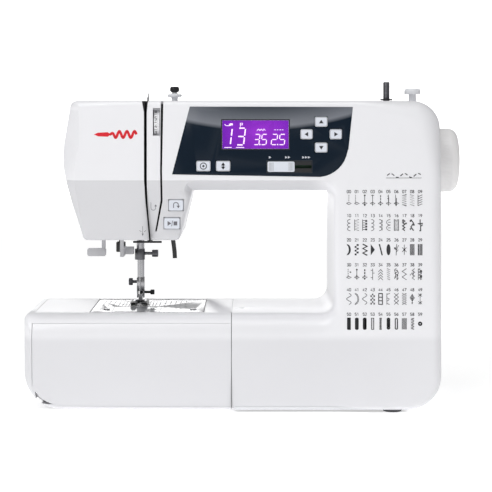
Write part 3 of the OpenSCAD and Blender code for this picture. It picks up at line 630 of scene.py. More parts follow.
def panelGlass():
    # dark navy sheet with a painted reflection above a low arc, palest at the arc
    mat = plastic("panelGlass", (0.007, 0.014, 0.025), roughness=0.22, coat=0.0, bump=0.02, scale=600)
    tree, shader = mat.node_tree, mat.node_tree.nodes["Principled BSDF"]
    shader.inputs["Specular IOR Level"].default_value = 0.12
    position = tree.nodes.new("ShaderNodeTexCoord")
    place = tree.nodes.new("ShaderNodeMapping")
    place.inputs["Location"].default_value = (-0.012, 0, -0.400)
    tree.links.new(position.outputs["Object"], place.inputs["Vector"])
    flat = tree.nodes.new("ShaderNodeVectorMath")
    flat.operation = "MULTIPLY"
    flat.inputs[1].default_value = (0.66, 0, 1)
    tree.links.new(place.outputs[0], flat.inputs[0])
    distance = tree.nodes.new("ShaderNodeVectorMath")
    distance.operation = "LENGTH"
    tree.links.new(flat.outputs[0], distance.inputs[0])
    reflectionFade = tree.nodes.new("ShaderNodeMapRange")
    reflectionFade.inputs["From Min"].default_value = 0.1140
    reflectionFade.inputs["From Max"].default_value = 0.1340
    reflectionFade.inputs["To Min"].default_value = 0.2
    tree.links.new(distance.outputs["Value"], reflectionFade.inputs["Value"])
    edge = tree.nodes.new("ShaderNodeMapRange")
    edge.inputs["From Min"].default_value = 0.1370
    edge.inputs["From Max"].default_value = 0.1330
    tree.links.new(distance.outputs["Value"], edge.inputs["Value"])
    paintedLightAmount = tree.nodes.new("ShaderNodeMath")
    paintedLightAmount.operation = "MULTIPLY"
    tree.links.new(reflectionFade.outputs[0], paintedLightAmount.inputs[0])
    tree.links.new(edge.outputs[0], paintedLightAmount.inputs[1])
    # painted reflection: a paler grey mixed into the colour above the arc
    tone = tree.nodes.new("ShaderNodeMixRGB")
    tone.inputs[2].default_value = (0.20, 0.212, 0.24, 1)
    tree.links.new(paintedLightAmount.outputs[0], tone.inputs[0])
    tree.links.new(shader.inputs["Base Color"].links[0].from_socket, tone.inputs[1])
    tree.links.new(tone.outputs[0], shader.inputs["Base Color"])
    return mat


# Every other CAD node gets its finish, most as a copy with rounded edges
softened = [  # node, material, bevel
    ("free_arm_cover", "whiteShell", 1.2), ("carrying_handle", "whiteTrim", 1.6),
    ("needle_plate", "paleSteel", 0.25),
    ("foot_holder", "chromeSteel", 0.4), ("release_lever", "blackPlastic", 0.4),
    ("clamp_screw", "darkSteel", 0.5), ("holder_screw", "darkSteel", 0.5), ("needle_clamp", "darkSteel", 0.5),
    ("needle_threader", "threaderGrey", 0.6), ("buttonhole_lever", "blackPlastic", 0.8),
    ("thread_guide", "blackPlastic", 0.3), ("take_up_lever", "chromeSteel", 0.3),
    ("winder_stopper", "whiteTrim", 0.3),
    ("winder_spindle", "blackPlastic", 0.4), ("power_switch", "blackPlastic", 0.8),
    ("terminal_socket", "blackPlastic", 0.5), ("spool_pin", "whiteTrim", 0.8),
    ("rubber_feet", "rubberGrey", 0.8),
    ("base_plate", "whiteTrim", 0.5), ("screws", "chromeSteel", 0.25), ("control_panel", "panelGlass", 0.25),
]
finished = {
    "presser_bar": "chromeSteel", "needle_bar": "chromeSteel", "needle": "chromeSteel",
    "main_shaft": "satinSteel",
    "lower_shaft": "satinSteel", "rotary_hook": "satinSteel", "feed_dog": "satinSteel",
    "motor_pulley": "satinSteel", "bobbin_holder": "blackPlastic", "winder_arm": "blackPlastic",
    "belts": "rubberGrey",
}


def displayGlass():
    # violet backlight, a little brighter and pinker towards its middle and top
    mat = plastic("displayGlass", (0.10, 0.012, 0.24), roughness=0.2, bump=0.02,
                  emission=(0.21, 0.03, 0.46, 0.9))
    tree, shader = mat.node_tree, mat.node_tree.nodes["Principled BSDF"]
    shader.inputs["Specular IOR Level"].default_value = 0.2
    position = tree.nodes.new("ShaderNodeTexCoord")
    place = tree.nodes.new("ShaderNodeMapping")
    place.inputs["Location"].default_value = (-0.3, 0, -8.35)
    place.inputs["Scale"].default_value = (22, 0, 32)
    tree.links.new(position.outputs["Object"], place.inputs["Vector"])
    glow = tree.nodes.new("ShaderNodeTexGradient")
    glow.gradient_type = "SPHERICAL"
    tree.links.new(place.outputs[0], glow.inputs["Vector"])
    mix = tree.nodes.new("ShaderNodeMixRGB")
    mix.inputs[1].default_value = (0.15, 0.018, 0.40, 1)
    mix.inputs[2].default_value = (0.38, 0.05, 0.62, 1)
    tree.links.new(glow.outputs["Fac"], mix.inputs[0])
    tree.links.new(mix.outputs[0], shader.inputs["Emission Color"])
    return mat


def finishNodes():
    # rounded copies first, then materials set on the CAD meshes that stay as they are
    for node, mat, bevel in softened:
        softCopy(node, paint(mat), bevel)
    more = {
        "main_frame": plastic("castAluminium", (0.42, 0.43, 0.44), roughness=0.55, metallic=0.9, bump=0.6,
                              scale=400),
        "bushes": plastic("bushBronze", (0.5, 0.33, 0.14), roughness=0.4, metallic=1.0, bump=0.2),
        "display": displayGlass(),
        "control_board": plastic("boardGreen", (0.01, 0.09, 0.03), roughness=0.45, bump=0.3),
        "lamp": plastic("lampLens", (0.95, 0.93, 0.85), roughness=0.2, bump=0.1,
                        emission=(1, 0.95, 0.8, 0.6)),
        "motor": plastic("motorPaint", (0.12, 0.12, 0.13), roughness=0.5, metallic=0.5, bump=0.4),
        "bobbin": plastic("bobbinClear", (0.6, 0.63, 0.68), roughness=0.15, bump=0.05, coat=0.4),
        "hook_cover": plastic("hookCoverClear", (0.5, 0.51, 0.53), roughness=0.12, bump=0.03, coat=0.5),
    }
    for node, mat in finished.items():
        more[node] = paint(mat)
    for node, mat in more.items():
        mesh = frame["nodes"][node].data
        mesh.materials.clear()
        mesh.materials.append(mat)
    print("nodes finished")


finishNodes()
wheel = {"x0": 184.5, "x1": 207, "y": -4, "z": 233, "r": 31, "flutes": 60, "depth": 0.35}


def makeHandwheel():
    # Lathe whose rim radius ripples round the wheel: r = R - depth * (1 - cos(flutes * angle)) / 2 on the
    # grip.
    w = wheel
    profile = np.concatenate([[(6, 0), (w["r"] - 3, 0), (w["r"] - 1.2, 0.4), (w["r"], 1.6), (w["r"], 3),
                               (w["r"], 11), (w["r"], 13)], arc(w["r"] - 8.5, 13.5, 8.5, 0, 80, 12),
                              [(16, 22.1), (14, 21.7), (12, 21.2), (6, 21.0), (0.01, 21.0)]])
    points, faces = lathe(profile, "x", (w["x0"], w["y"], w["z"]), 240)
    local = points - [0, w["y"], w["z"]]
    angle = np.arctan2(local[:, 2], local[:, 1])
    along = points[:, 0] - w["x0"]
    grip = smooth((along - 2.5) / 1.5) * (1 - smooth((along - 11) / 3)) * w["depth"]
    scale = 1 - grip * (1 - np.cos(w["flutes"] * angle)) / 2 / w["r"]
    points[:, 1:] = local[:, 1:] * scale[:, None] + [w["y"], w["z"]]
    addPiece("handwheel_shell", points, faces, paint("wheelWhite"), "shaft", slotOf["handwheel"],
             replaced=("handwheel",))


makeHandwheel()
# Printed marks: thin strips of ink that stand a little proud of the face they are printed on
ink = {"proud": 0.10, "sunk": 0.35, "chartLine": 0.5, "boldLine": 0.95, "numberLine": 0.46}
digits = {  # strokes in a box 0.6 wide and 1 high
    "0": [[(0, .2), (0, .8), (.15, 1), (.45, 1), (.6, .8), (.6, .2), (.45, 0), (.15, 0), (0, .2)]],
    "1": [[(.08, .8), (.34, 1), (.34, 0)]], "2": [[(0, .8), (.15, 1), (.48, 1), (.6, .8), (.55, .6),
                                                   (0, 0), (.6, 0)]],
    "3": [[(0, 1), (.58, 1), (.28, .6), (.55, .45), (.6, .2), (.42, 0), (.12, 0), (0, .14)]],
    "4": [[(.44, 0), (.44, 1), (0, .3), (.6, .3)]],
    "5": [[(.56, 1), (.06, 1), (.04, .56), (.4, .6), (.6, .36), (.5, .06), (.2, 0), (0, .1)]],
    "6": [[(.5, 1), (.14, .74), (0, .34), (.12, .04), (.44, 0), (.6, .25), (.46, .54), (.16, .54),
           (.02, .36)]],
    "7": [[(0, 1), (.6, 1), (.2, 0)]],
    "8": [[(.3, .54), (.06, .74), (.14, 1), (.46, 1), (.54, .74), (.3, .54), (0, .28), (.12, 0), (.48, 0),
           (.6, .28),
           (.3, .54)]],
    "9": [[(.58, .64), (.42, .46), (.12, .46), (0, .74), (.14, .98), (.46, 1), (.6, .7), (.44, .24),
           (.12, 0)]],
}


def joined(parts):
    # several (points, faces) pairs as one
    points, faces, offset = [], [], 0
    for p, f in parts:
        points.append(np.asarray(p, float))
        faces += [[offset + k for k in face] for face in f]
        offset += len(p)
    return np.concatenate(points), faces


def ribbon(path, width, faceY):
    # a flat strip: the path moved half a width to each side, with a front in front of the face and a back
    # behind it
    p = np.asarray(path, float)
    step = np.diff(p, axis=0)
    length = np.maximum(np.linalg.norm(step, axis=1), 1e-6)[:, None]
    normal = np.stack([-step[:, 1], step[:, 0]], 1) / length
    before, after = np.concatenate([normal[:1], normal]), np.concatenate([normal, normal[-1:]])
    side = (before + after) / np.maximum(0.6, 1 + (before * after).sum(1))[:, None] * width / 2
    a, b = p + side, p - side
    front, back = faceY(p[:, 0], p[:, 1]) - ink["proud"], faceY(p[:, 0], p[:, 1]) + ink["sunk"]
    ring = [np.stack([q[:, 0], y, q[:, 1]], 1) for q, y in ((a, front), (b, front), (b, back), (a, back))]
    n = len(p)
    return np.stack(ring, 1).reshape(-1, 3), gridFaces(n, 4) + [[3, 2, 1, 0],
        [4 * n - 4, 4 * n - 3, 4 * n - 2, 4 * n - 1]]


def solidMark(outline, faceY):
    # a filled mark: the outline carried from in front of the face to behind it
    y = faceY(np.mean([q[0] for q in outline]), np.mean([q[1] for q in outline]))
    return prism(outline, y - ink["proud"], y + ink["sunk"])


def numberStrokes(text, x, z, height, gap=0.82):
    # strokes of a number centred on x with its foot at z
    start = x - height * (gap * len(text) - gap + 0.6) / 2
    return [[(start + height * (i * gap + u), z + height * v) for u, v in stroke]
            for i, c in enumerate(text) for stroke in digits[c]]


def columnFace(x, z):
    # flat front of the column
    return np.full(np.shape(x), float(body["frontY"]))


def frontFace(x, z):
    # front face with its lean
    return body["frontY"] + frontDepth(np.asarray(x, float), np.asarray(z, float))


# Stitch chart: each stitch is drawn in a box from -1 to 1 across and 0 to 1 up
def zigzag(turns, a=-0.8, b=0.8, z0=0.0, z1=1.0):
    # corners that alternate between a and b on the way up
    return [(a if i % 2 else b, z0 + (z1 - z0) * i / turns) for i in range(turns + 1)]


def wave(turns, a=0.8, z0=0.0, z1=1.0, n=30):
    # x = a sin(2 pi turns t), z from z0 to z1
    return [(a * math.sin(2 * math.pi * turns * i / n), z0 + (z1 - z0) * i / n) for i in range(n + 1)]


def loop(x, z, rx, rz, n=10, a0=0, a1=360):
    # ellipse or part of one round (x, z)
    t = np.radians(np.linspace(a0, a1, n + 1))
    return list(zip(x + rx * np.cos(t), z + rz * np.sin(t)))


def dashes(x, count, z0=0.0, z1=1.0):
    # upright dashes, each 0.7 of its pitch
    pitch = (z1 - z0) / count
    return [[(x, z0 + pitch * (i + 0.15)), (x, z0 + pitch * (i + 0.85))] for i in range(count)]


def scallops(count, side=1, w=0.8):
    # half ellipses one above the other
    return [loop(-side * w, (i + 0.5) / count, 2 * side * w, 0.5 / count, 8, -90, 90) for i in range(count)]


def rungs(count, a, b, z0=0.0, z1=1.0):
    # level lines from a to b at even heights
    return [[(a, z0 + (z1 - z0) * (i + .5) / count),
             (b, z0 + (z1 - z0) * (i + .5) / count)] for i in range(count)]


def diamondNeedle(z=0.22, r=0.2):
    # flat diamond across the stitch
    return [[(-.9, z), (0, z + r / 2), (.9, z), (0, z - r / 2), (-.9, z)]]


def pill(x, z0, z1, rx, rz=0.08):
    # upright bar with rounded ends
    return loop(x, z1 - rz, rx, rz, 8, 0, 180) + loop(x, z0 + rz, rx, rz, 8, 180, 360)


def stitchDrawings():
    # sixty stitches as (lines, filled outlines); the lines of some are heavier
    box = lambda a, b, z0, z1: [(a, z0), (b, z0), (b, z1), (a, z1)]
    ring = lambda pts: list(pts) + [pts[0]]
    s = {}
    s[0] = (dashes(0, 4, .4, 1) + diamondNeedle(), [])
    s[1] = (dashes(-.5, 5, .3, 1) + diamondNeedle(), [])
    s[2] = ([[(0, 0), (0, 1)]] + diamondNeedle(), [loop(0, .93, .34, .07), loop(0, .07, .34, .07)])
    s[3] = ([[(0, 0), (0, 1)]] + rungs(1, -.5, .5, .85, 1) + diamondNeedle(), [])
    s[4] = (diamondNeedle(), [box(-.16, .16, z / 4 + .02, z / 4 + .2) for z in range(4)])
    s[5] = ([[(0, 0), (0, 1)], [(0, .8), (-.4, .9)], [(0, .6), (-.4, .7)]] + diamondNeedle(),
            [box(-.06, .2, .3, .75)])
    s[6] = ([[(-.3, 0), (-.3, 1)]] + diamondNeedle(), [box(-.1, .15, 0, .7)])
    s[7] = ([zigzag(10)], [])
    s[8] = ([zigzag(9, -.8, .8)], [])
    s[9] = ([[(-.8, 0), (-.8, 1)]] + [[(-.8, (i + .1) / 5), (.8, (i + .9) / 5)] for i in range(5)], [])
    s[10] = (scallops(3, -1, .55), [])
    s[11] = ([[(-.8, 0), (-.8, 1)], zigzag(8)], [])
    s[12] = ([[(-.8, 0), (-.8, 1)]] + rungs(5, -.8, .2),
             [box(.2, .9, i / 4 + .03, i / 4 + .2) for i in range(4)])
    s[13] = (scallops(3, 1, .5), [])
    s[14] = (scallops(3, 1, .5) + [[(.6, i / 3 + .03), (.6, i / 3 + .3)] for i in range(3)], [])
    s[15] = (scallops(2, -1, .7) + [[(-.1, .25), (.8, .25)], [(-.1, .75), (.8, .75)]], [])
    s[16] = ([[(-.8, 0), (-.8, 1)], [(.8, 0), (.8, 1)], zigzag(8), zigzag(8, .8, -.8)], [])
    s[17] = ([zigzag(7, -.6, .2), [(.2, .6), (.9, .66)]], [box(.4, .9, .58, .72), box(-.8, -.4, .8, .95)])
    s[18] = ([zigzag(3, -.5, .5)], [box(-.9, -.4, .78, .95), box(.3, .9, .45, .6), box(-.9, -.4, .08, .22)])
    s[19] = ([[(0, .5), (0, 1)], [(-.9, .62), (.9, .62)], [(-.3, 0), (.2, 0), (.2, .45), (.9, .45)]],
             [box(.6, .95, .55, .7)])
    s[20] = ([], [loop(-.8, .5, 1.5, .5, 14, -90, 90) + loop(-.8, .5, .75, .4, 12, 80, -80)])
    s[21] = ([], [box(-.8, -.1, i / 3, i / 3 + .16) for i in range(3)] + [box(-.1, .7, i / 3 + .17,
        i / 3 + .33) for i in range(3)])
    s[22] = ([zigzag(5), [(x + .18, z) for x, z in zigzag(5)]], [])
    s[23] = ([], [[(-.7, 0), (.8, .5), (-.7, 1)]])
    s[24] = ([], [[(.35, 0), (.85, 0), (-.2, 1), (-.7, 1)]])
    s[25] = ([], [loop(0, .5, .75, .5, 20)])
    s[26] = ([[(-.1, 0), (.1, 1)], [(-.8, .7), (0, .45), (.8, .9)], [(0, .3), (.7, .5)]],
             [loop(-.5, .62, .3, .09)])
    s[27] = ([[(0, .05), (0, .95)], [(-.8, .3), (.8, .7)], [(-.8, .7), (.8, .3)]], [loop(0, .5, .3, .1)])
    s[28] = (rungs(14, -.85, .85), [])
    s[29] = ([], [box(-.85 + .62 * i, -.4 + .62 * i, 0, 1) for i in range(3)])
    s[30] = (dashes(-.3, 4, .3, 1) + diamondNeedle(), [loop(.55, .68, .32, .06)])
    s[31] = ([[(0, 0), (0, 1)]] + diamondNeedle(), [loop(0, .9, .36, .07), loop(0, .34, .3, .06)])
    s[32] = (diamondNeedle(), [box(-.22, .22, i / 4 + .02, i / 4 + .19) for i in range(4)])
    s[33] = ([[(0, 0), (0, 1)], [(0, .6), (.7, .6)], [(0, .2), (-.7, .2)], [(0, .85), (-.7, .85)]], [])
    s[34] = ([[(-.85, i * .24 - .02), (0, i * .24 + .2), (.85, i * .24 - .02)] for i in range(4)], [])
    s[35] = ([zigzag(11, -.55, .55)], [])
    s[36] = ([wave(3, .6), [(.7, .1), (.2, .4), (.8, .6), (.2, .9)], [(-.8, .9), (-.2, .5), (-.7, .1)]], [])
    s[37] = ([zigzag(4)], [])
    s[38] = ([[(-.8, .4), (0, .65), (.3, .2), (.6, .8)], zigzag(6, 0, .9)], [])
    s[39] = ([wave(4, .5), [(-.7, 0), (-.7, 1)]], [loop(.35, .75, .4, .14), loop(.35, .3, .4, .16)])
    s[40] = ([[(x, z) for x, z in wave(1.5, .85)]], [])
    s[41] = ([loop(-.8, .5, 1.5, .5, 14, -90, 90), loop(-.8, .5, 1.15, .42, 12, -80, 80)], [])
    s[42] = ([wave(1.5, .8, 0, 1)], [])
    s[43] = ([], [box(-.8, -.3, i / 3, i / 3 + .16) for i in range(3)] + [box(-.25, .25, i / 3 + .16,
        i / 3 + .3) for i in range(3)]
             + [box(.3, .8, i / 3, i / 3 + .16) for i in range(3)])
    s[44] = ([ring(box(-.75, .75, 0, 1)), ring(box(-.62, .62, .03, .32)), ring(box(-.62, .62, .35, .64)),
              ring(box(-.62, .62, .67, .96))], [])
    s[45] = ([[(-.6, 0), (-.6, 1)], [(-.6, .1), (.4, .0)], [(-.6, .3), (.3, .45)], [(-.6, .6), (.4, .5)],
              [(-.6, .9), (.5, 1)]], [])
    s[46] = ([zigzag(3), zigzag(3, .8, -.8)], [])
    s[47] = ([zigzag(6), zigzag(6, .8, -.8)], [])
    s[48] = ([[(0, .05), (0, .95)], ring([(0, .3), (.8, .6), (0, .9), (-.8, .6)]),
              ring([(0, .45), (.4, .6), (0, .75), (-.4, .6)])],
             [loop(0, .15, .3, .05)])
    s[49] = (dashes(0, 3, .3, .7) + [[(-.7, .72), (.7, .96)], [(-.7, .96), (.7, .72)],
                                     [(-.7, .04), (.7, .28)], [(-.7, .28), (.7, .04)],
              [(0, 0), (0, .3)], [(0, .7), (0, 1)]], [])
    s[50] = ([ring(box(-.5, .5, 0, 1)), ring(box(-.32, .32, .04, .96)), [(0, .06), (0, .94)]], [])
    s[51] = ([ring(pill(0, 0, 1, .5)), ring(pill(0, .03, .97, .3)), [(0, .08), (0, .92)]], [])
    s[52] = ([ring(pill(0, 0, 1, .5)), ring(pill(0, .03, .97, .34)), [(0, .08), (0, .92)],
              [(.16, .1), (.16, .9)]], [])
    s[53] = ([ring(box(-.45, .45, 0, 1))] + rungs(12, -.4, -.15) + rungs(12, .15, .4), [])
    s[54] = ([[(-.45, 0), (.45, 0)], [(-.45, 1), (.45, 1)]] + rungs(14, -.4, .4, .02, .98), [])
    s[55] = ([ring(pill(0, .2, 1, .45)), ring(pill(0, .25, .97, .25)), [(0, .3), (0, .9)],
              loop(0, .14, .5, .12), loop(0, .14, .3, .07)], [])
    s[56] = ([ring(pill(0, 0, 1, .5)), ring(pill(0, .06, .94, .3))], [])
    s[57] = ([[(-.8 + .32 * i, 0), (-.8 + .32 * i, 1)] for i in range(6)], [])
    s[58] = ([zigzag(16, -.55, .55), zigzag(8, -.3, .7)], [])
    s[59] = ([loop(0, .5, .62, .15, 16), loop(0, .5, .42, .1, 14)], [])
    return s


chart = {"bold": (7, 17, 18, 19, 22, 50, 51, 52, 55, 59), "x0": 96.4, "pitch": 7.36, "half": 2.5,
         "height": 10.4, "numberHeight": 2.5,
         "numberZ": [205.3, 182.9, 160.3, 137.2, 114.0, 91.2],
         "glyphZ": [193.3, 170.2, 147.3, 124.5, 101.5, 78.4]}


def makeChart():
    # every stitch drawing scaled into its cell, with its number above
    parts = []
    for index, (lines, fills) in stitchDrawings().items():
        row, column = divmod(index, 10)
        x, z = chart["x0"] + column * chart["pitch"], chart["glyphZ"][row]
        place = lambda q: [(x + u * chart["half"], z + v * chart["height"]) for u, v in q]
        width = ink["boldLine" if index in chart["bold"] else "chartLine"]
        parts += [ribbon(place(line), width, columnFace) for line in lines]
        parts += [solidMark(place(fill), columnFace) for fill in fills]
        strokes = numberStrokes("%02d" % index, x, chart["numberZ"][row], chart["numberHeight"])
        parts += [ribbon(stroke, ink["numberLine"], columnFace) for stroke in strokes]
    points, faces = joined(parts)
    addPiece("stitch_chart", points, faces, paint("inkBlack"), "machine", slotOf["front_cover"])
    print("stitch chart:", len(faces), "faces")


ornament = {"x0": -140.9, "x1": -101.2, "z0": 256.4, "z1": 262.9}


def makeOrnament():
    # a needle with a wavy thread in red on the head, and a row of stitches on the column
    o = ornament
    span, mid = o["x1"] - o["x0"], (o["z0"] + o["z1"]) / 2
    needle = [(o["x0"], mid), (o["x0"] + 4, mid + 1.7), (o["x0"] + 13, mid + 2.1), (o["x0"] + 16, mid),
              (o["x0"] + 13, mid - 2.1), (o["x0"] + 4, mid - 1.7)]
    t = np.linspace(0, 1, 60)
    thread = np.stack([o["x0"] + 15 + (span - 15) * t,
                       mid + 3.0 * np.sin(t * 2 * np.pi * 3.5) * np.minimum(1, t * 5)], 1)
    points, faces = joined([solidMark(needle, columnFace), ribbon(thread, 2.4, columnFace)])
    red = plastic("ornamentRed", (0.72, 0.012, 0.025), roughness=0.35, bump=0.05)
    addPiece("head_ornament", points, faces, red, "machine", slotOf["face_cover"])
    t = np.linspace(0, 1, 40)
    curl = np.stack([132 + 32 * t, 221.5 + 1.9 * np.sin(t * 2 * np.pi * 2.5)], 1)
    marks = [ribbon(curl[i:i + 4], 0.9, columnFace) for i in range(0, 36, 5)]
    points, faces = joined(marks + [ribbon([(131, 219.2), (164, 219.2)], 0.35, columnFace)])
    addPiece("column_ornament", points, faces, paint("inkBlack"), "machine", slotOf["front_cover"])


makeChart()
makeOrnament()
# Control panel: a smoked glossy sheet, its keys with printed signs, the slider and the lit display
panel = {"frontY": -74.3, "keyBack": -71.2, "flange": 0.9, "signLine": 0.75}
segments = {  # the seven bars of a lit digit, as ends in a box 1 wide and 2 high
    "a": ((.12, 2), (.88, 2)), "b": ((1, 1.9), (1, 1.1)), "c": ((1, .9), (1, .1)), "d": ((.12, 0), (.88, 0)),
    "e": ((0, .1), (0, .9)), "f": ((0, 1.1), (0, 1.9)), "g": ((.12, 1), (.88, 1)),
}
litBars = {"1": "bc", "2": "abged", "3": "abgcd", "5": "afgcd"}


def flatAt(y):
    # a face at one depth
    return lambda x, z: np.full(np.shape(x), float(y))


def keyCap(rect, front, back, crown=0.35, r=1.6):
    # soft-edged key: a rounded rectangle whose rings step in as they come forward, with a slightly dished
    # face
    x0, x1, z0, z1 = rect
    def ring(inset, y):
        # rounded rectangle, its corner radius r - 0.6 * inset
        q = max(0.3, r - inset * 0.6)
        a, b, c, d = x0 + inset, x1 - inset, z0 + inset, z1 - inset
        o = np.concatenate([arc(b - q, d - q, q, 90, 0, 5), arc(b - q, c + q, q, 0, -90, 5),
                            arc(a + q, c + q, q, -90, -180, 5), arc(a + q, d - q, q, 180, 90, 5)])
        return np.stack([o[:, 0], np.full(len(o), y), o[:, 1]], 1)
    rings = [ring(0, back), ring(0, front + 0.5), ring(0.12, front + 0.2), ring(0.35, front + 0.05),
             ring(0.7, front),
             ring(1.3, front + crown * 0.15), ring(2.6, front + crown * 0.3)]
    n = len(rings[0])
    return np.concatenate(rings), gridFaces(len(rings), n) + [list(range(n)), list(range(6 * n, 7 * n))[::-1]]


keySigns = {  # arrows as the corners of a triangle round the key's middle
    "key_up": [(-2.1, -1.4), (2.1, -1.4), (0, 1.9)], "key_down": [(-2.1, 1.4), (2.1, 1.4), (0, -1.9)],
    "key_left": [(1.4, -2.1), (1.4, 2.1), (-1.9, 0)], "key_right": [(-1.4, -2.1), (-1.4, 2.1), (1.9, 0)],
}


def makeKeys():
    # cap, grey ring of painted rim shade, and sign of each key
    for node in keyNodes:
        onHead = node in ("reverse_button", "start_stop_button")
        # the panel keys' flanges are wider than their faces
        x0, x1, z0, z1, front = rectOf(node, 0.0 if onHead else panel["flange"])
        if onHead:
            points, faces = keyCap((x0, x1, z0, z1), front, front + 6, crown=0.6, r=1.8)
        else:
            points, faces = keyCap((x0, x1, z0, z1), front, panel["keyBack"])
        addPiece(node + "_cap", points, faces, paint("keyPlastic"), bodyOf[node], slotOf[node], sharp=50,
                 replaced=(node,))
        # painted shade: a grey ring on the key's rounded rim
        edge = arc(x1 - 2.1, z1 - 2.1, 1.6, 90, 0, 4), arc(x1 - 2.1, z0 + 2.1, 1.6, 0, -90, 4)
        edge += arc(x0 + 2.1, z0 + 2.1, 1.6, -90, -180, 4), arc(x0 + 2.1, z1 - 2.1, 1.6, 180, 90, 4)
        outline = np.concatenate(edge + (edge[0][:1],))
        points, faces = ribbon(outline, 0.55, flatAt(front + (0.12 if onHead else 0.09)))
        rimShadeGrey = plastic("keyRimShade", (0.42, 0.43, 0.46), roughness=0.45, bump=0.1)
        addPiece(node + "_rim_shade", points, faces, rimShadeGrey, bodyOf[node], slotOf[node])
        cx, cz, face = (x0 + x1) / 2, (z0 + z1) / 2, flatAt(front + 0.06 if not onHead else front + 0.12)
        w = panel["signLine"]
        if node in keySigns:
            marks = [solidMark([(cx + u, cz + v) for u, v in keySigns[node]], face)]
        elif node == "lock_key":  # a dot in a ring
            marks = [ribbon(loop(cx, cz, 2.9, 2.9, 20), w, face),
                     solidMark(loop(cx, cz, 1.1, 1.1, 10)[:-1], face)]
        elif node == "needle_key":  # a needle between up and down arrows
            marks = [ribbon([(cx, cz - 3), (cx, cz + 3)], w * 1.3, face),
                     solidMark([(cx - 2, cz + .6), (cx + 2, cz + .6), (cx, cz + 3.2)], face),
                     solidMark([(cx - 2, cz - .6), (cx + 2, cz - .6), (cx, cz - 3.2)], face)]
        elif node == "reverse_button":  # a U-turn arrow
            marks = [ribbon([(cx - 2.2, cz - 2.4), (cx - 2.2, cz + .8)] + loop(cx, cz + .8, 2.2, 1.8, 8,
                180, 0)[1:] + [(cx + 2.2, cz - .6)], w, face),
                     solidMark([(cx + .6, cz - .4), (cx + 3.8, cz - .4), (cx + 2.2, cz - 2.8)], face)]
        else:  # start and stop
            marks = [solidMark([(cx - 4, cz - 2.2), (cx - .6, cz), (cx - 4, cz + 2.2)], face),
                     ribbon([(cx - .2, cz - 2.6), (cx + .6, cz + 2.6)], w * .7, face),
                     solidMark([(cx + 1.6, cz - 1.8), (cx + 5, cz - 1.8), (cx + 5, cz + 1.8),
                                (cx + 1.6, cz + 1.8)], face)]
        points, faces = joined(marks)
        addPiece(node + "_sign", points, faces, paint("inkBlack") if not onHead else paint("signGrey"),
                 bodyOf[node], slotOf[node])
    print("keys made")


def makeSlider():
    # slider cap and ribs, its slot and the speed signs
    x0, x1, z0, z1, front = 20.7, 45.9, 224.9, 234.5, -74.9
    points, faces = keyCap((x0, x1, z0, z1), front, -74.4, crown=0.1, r=1.4)
    parts = [(points, faces), block(x0 + 9, x1 - 9, -74.5, -70, 228.5, 230.9)]
    points, faces = joined(parts)
    addPiece("speed_slider_cap", points, faces, paint("keyPlastic"), "slider", slotOf["speed_slider"],
             replaced=("speed_slider",))
    places = [x0 + 1.6 + 1.2 * k for k in range(4)] + [x1 - 1.6 - 1.2 * k for k in range(4)]
    points, faces = joined([block(x - 0.24, x + 0.24, front - 0.1, front + 0.2, z0 + 0.8,
                                  z1 - 0.8) for x in places])
    ribGrey = plastic("ribGrey", (0.40, 0.41, 0.43), roughness=0.45, bump=0.1)
    addPiece("slider_ribs", points, faces, ribGrey, "slider", slotOf["speed_slider"])
    face = flatAt(panel["frontY"] + 0.03)
    marks = []
    for x, count in ((23, 1), (38, 2), (54, 3)):
        marks += [solidMark([(x + 2.6 * k - 1, 237.2), (x + 2.6 * k + 1.3, 238.4),
                             (x + 2.6 * k - 1, 239.6)], face)
                  for k in range(count)]
    points, faces = joined(marks)
    pale = plastic("signPale", (0.6, 0.62, 0.68), roughness=0.5, bump=0.05)
    addPiece("speed_signs", points, faces, pale, "machine", slotOf["control_panel"])
    frameLine = [(x0 - .8, z0 - .9), (x1 + 16.2, z0 - .9), (x1 + 16.2, z1 + .9), (x0 - .8, z1 + .9),
                 (x0 - .8, z0 - .9)]
    points, faces = ribbon(frameLine, 0.5, face)
    frameGrey = plastic("frameGrey", (0.02, 0.024, 0.03), roughness=0.4, bump=0.05)
    addPiece("slider_frame", points, faces, frameGrey, "machine", slotOf["control_panel"])
    points, faces = joined([block(x1 - 8, x1 + 15.6, -74.33, -74.2, z0 - .3, 228.2),
                            block(x1 - 8, x1 + 15.6, -74.33, -74.2, 231.2, z1 + .3),
                            block(16.2, 65.8, -66.6, -66.0, 225.2, 234.3),
                            block(16.1, 65.9, -72, -66, 225.05, 225.3),
                            block(16.1, 65.9, -72, -66, 234.2, 234.45)])
    addPiece("slider_bed", points, faces, paint("blackPlastic"), "machine", slotOf["control_panel"])


def litNumber(text, x, z, width, height, line, face, slant=0.08):
    # slanted seven-bar digits: x grows by slant * height from foot to top
    marks = []
    for i, c in enumerate(text.replace(".", "")):
        for bar in litBars[c]:
            ends = [(x + i * width * 1.45 + u * width + slant * v * height / 2, z + v * height / 2)
                    for u, v in segments[bar]]
            marks.append(ribbon(ends, line, face))
    if "." in text:
        at = x + (text.index(".")) * width * 1.45 - width * 0.24
        marks.append(solidMark([(at - .55, z - .5), (at + .55, z - .5), (at + .55, z + .7),
                                (at - .55, z + .7)], face))
    return marks


display = {
    "face": -74.02, "slant": 0.12, "rim": (-21.9, 40.9, 245.8, 273.3),
    "numbers": [  # text, x, z, width, height, line
        ("1", -20.5, 250.0, 6.6, 15.6, 1.2), ("3", -8.2, 250.0, 6.6, 15.6, 1.2),
        ("3.5", 8.0, 250.2, 4.6, 9.6, 0.85), ("2.5", 24.0, 250.2, 5.0, 9.6, 0.85),
    ],
}


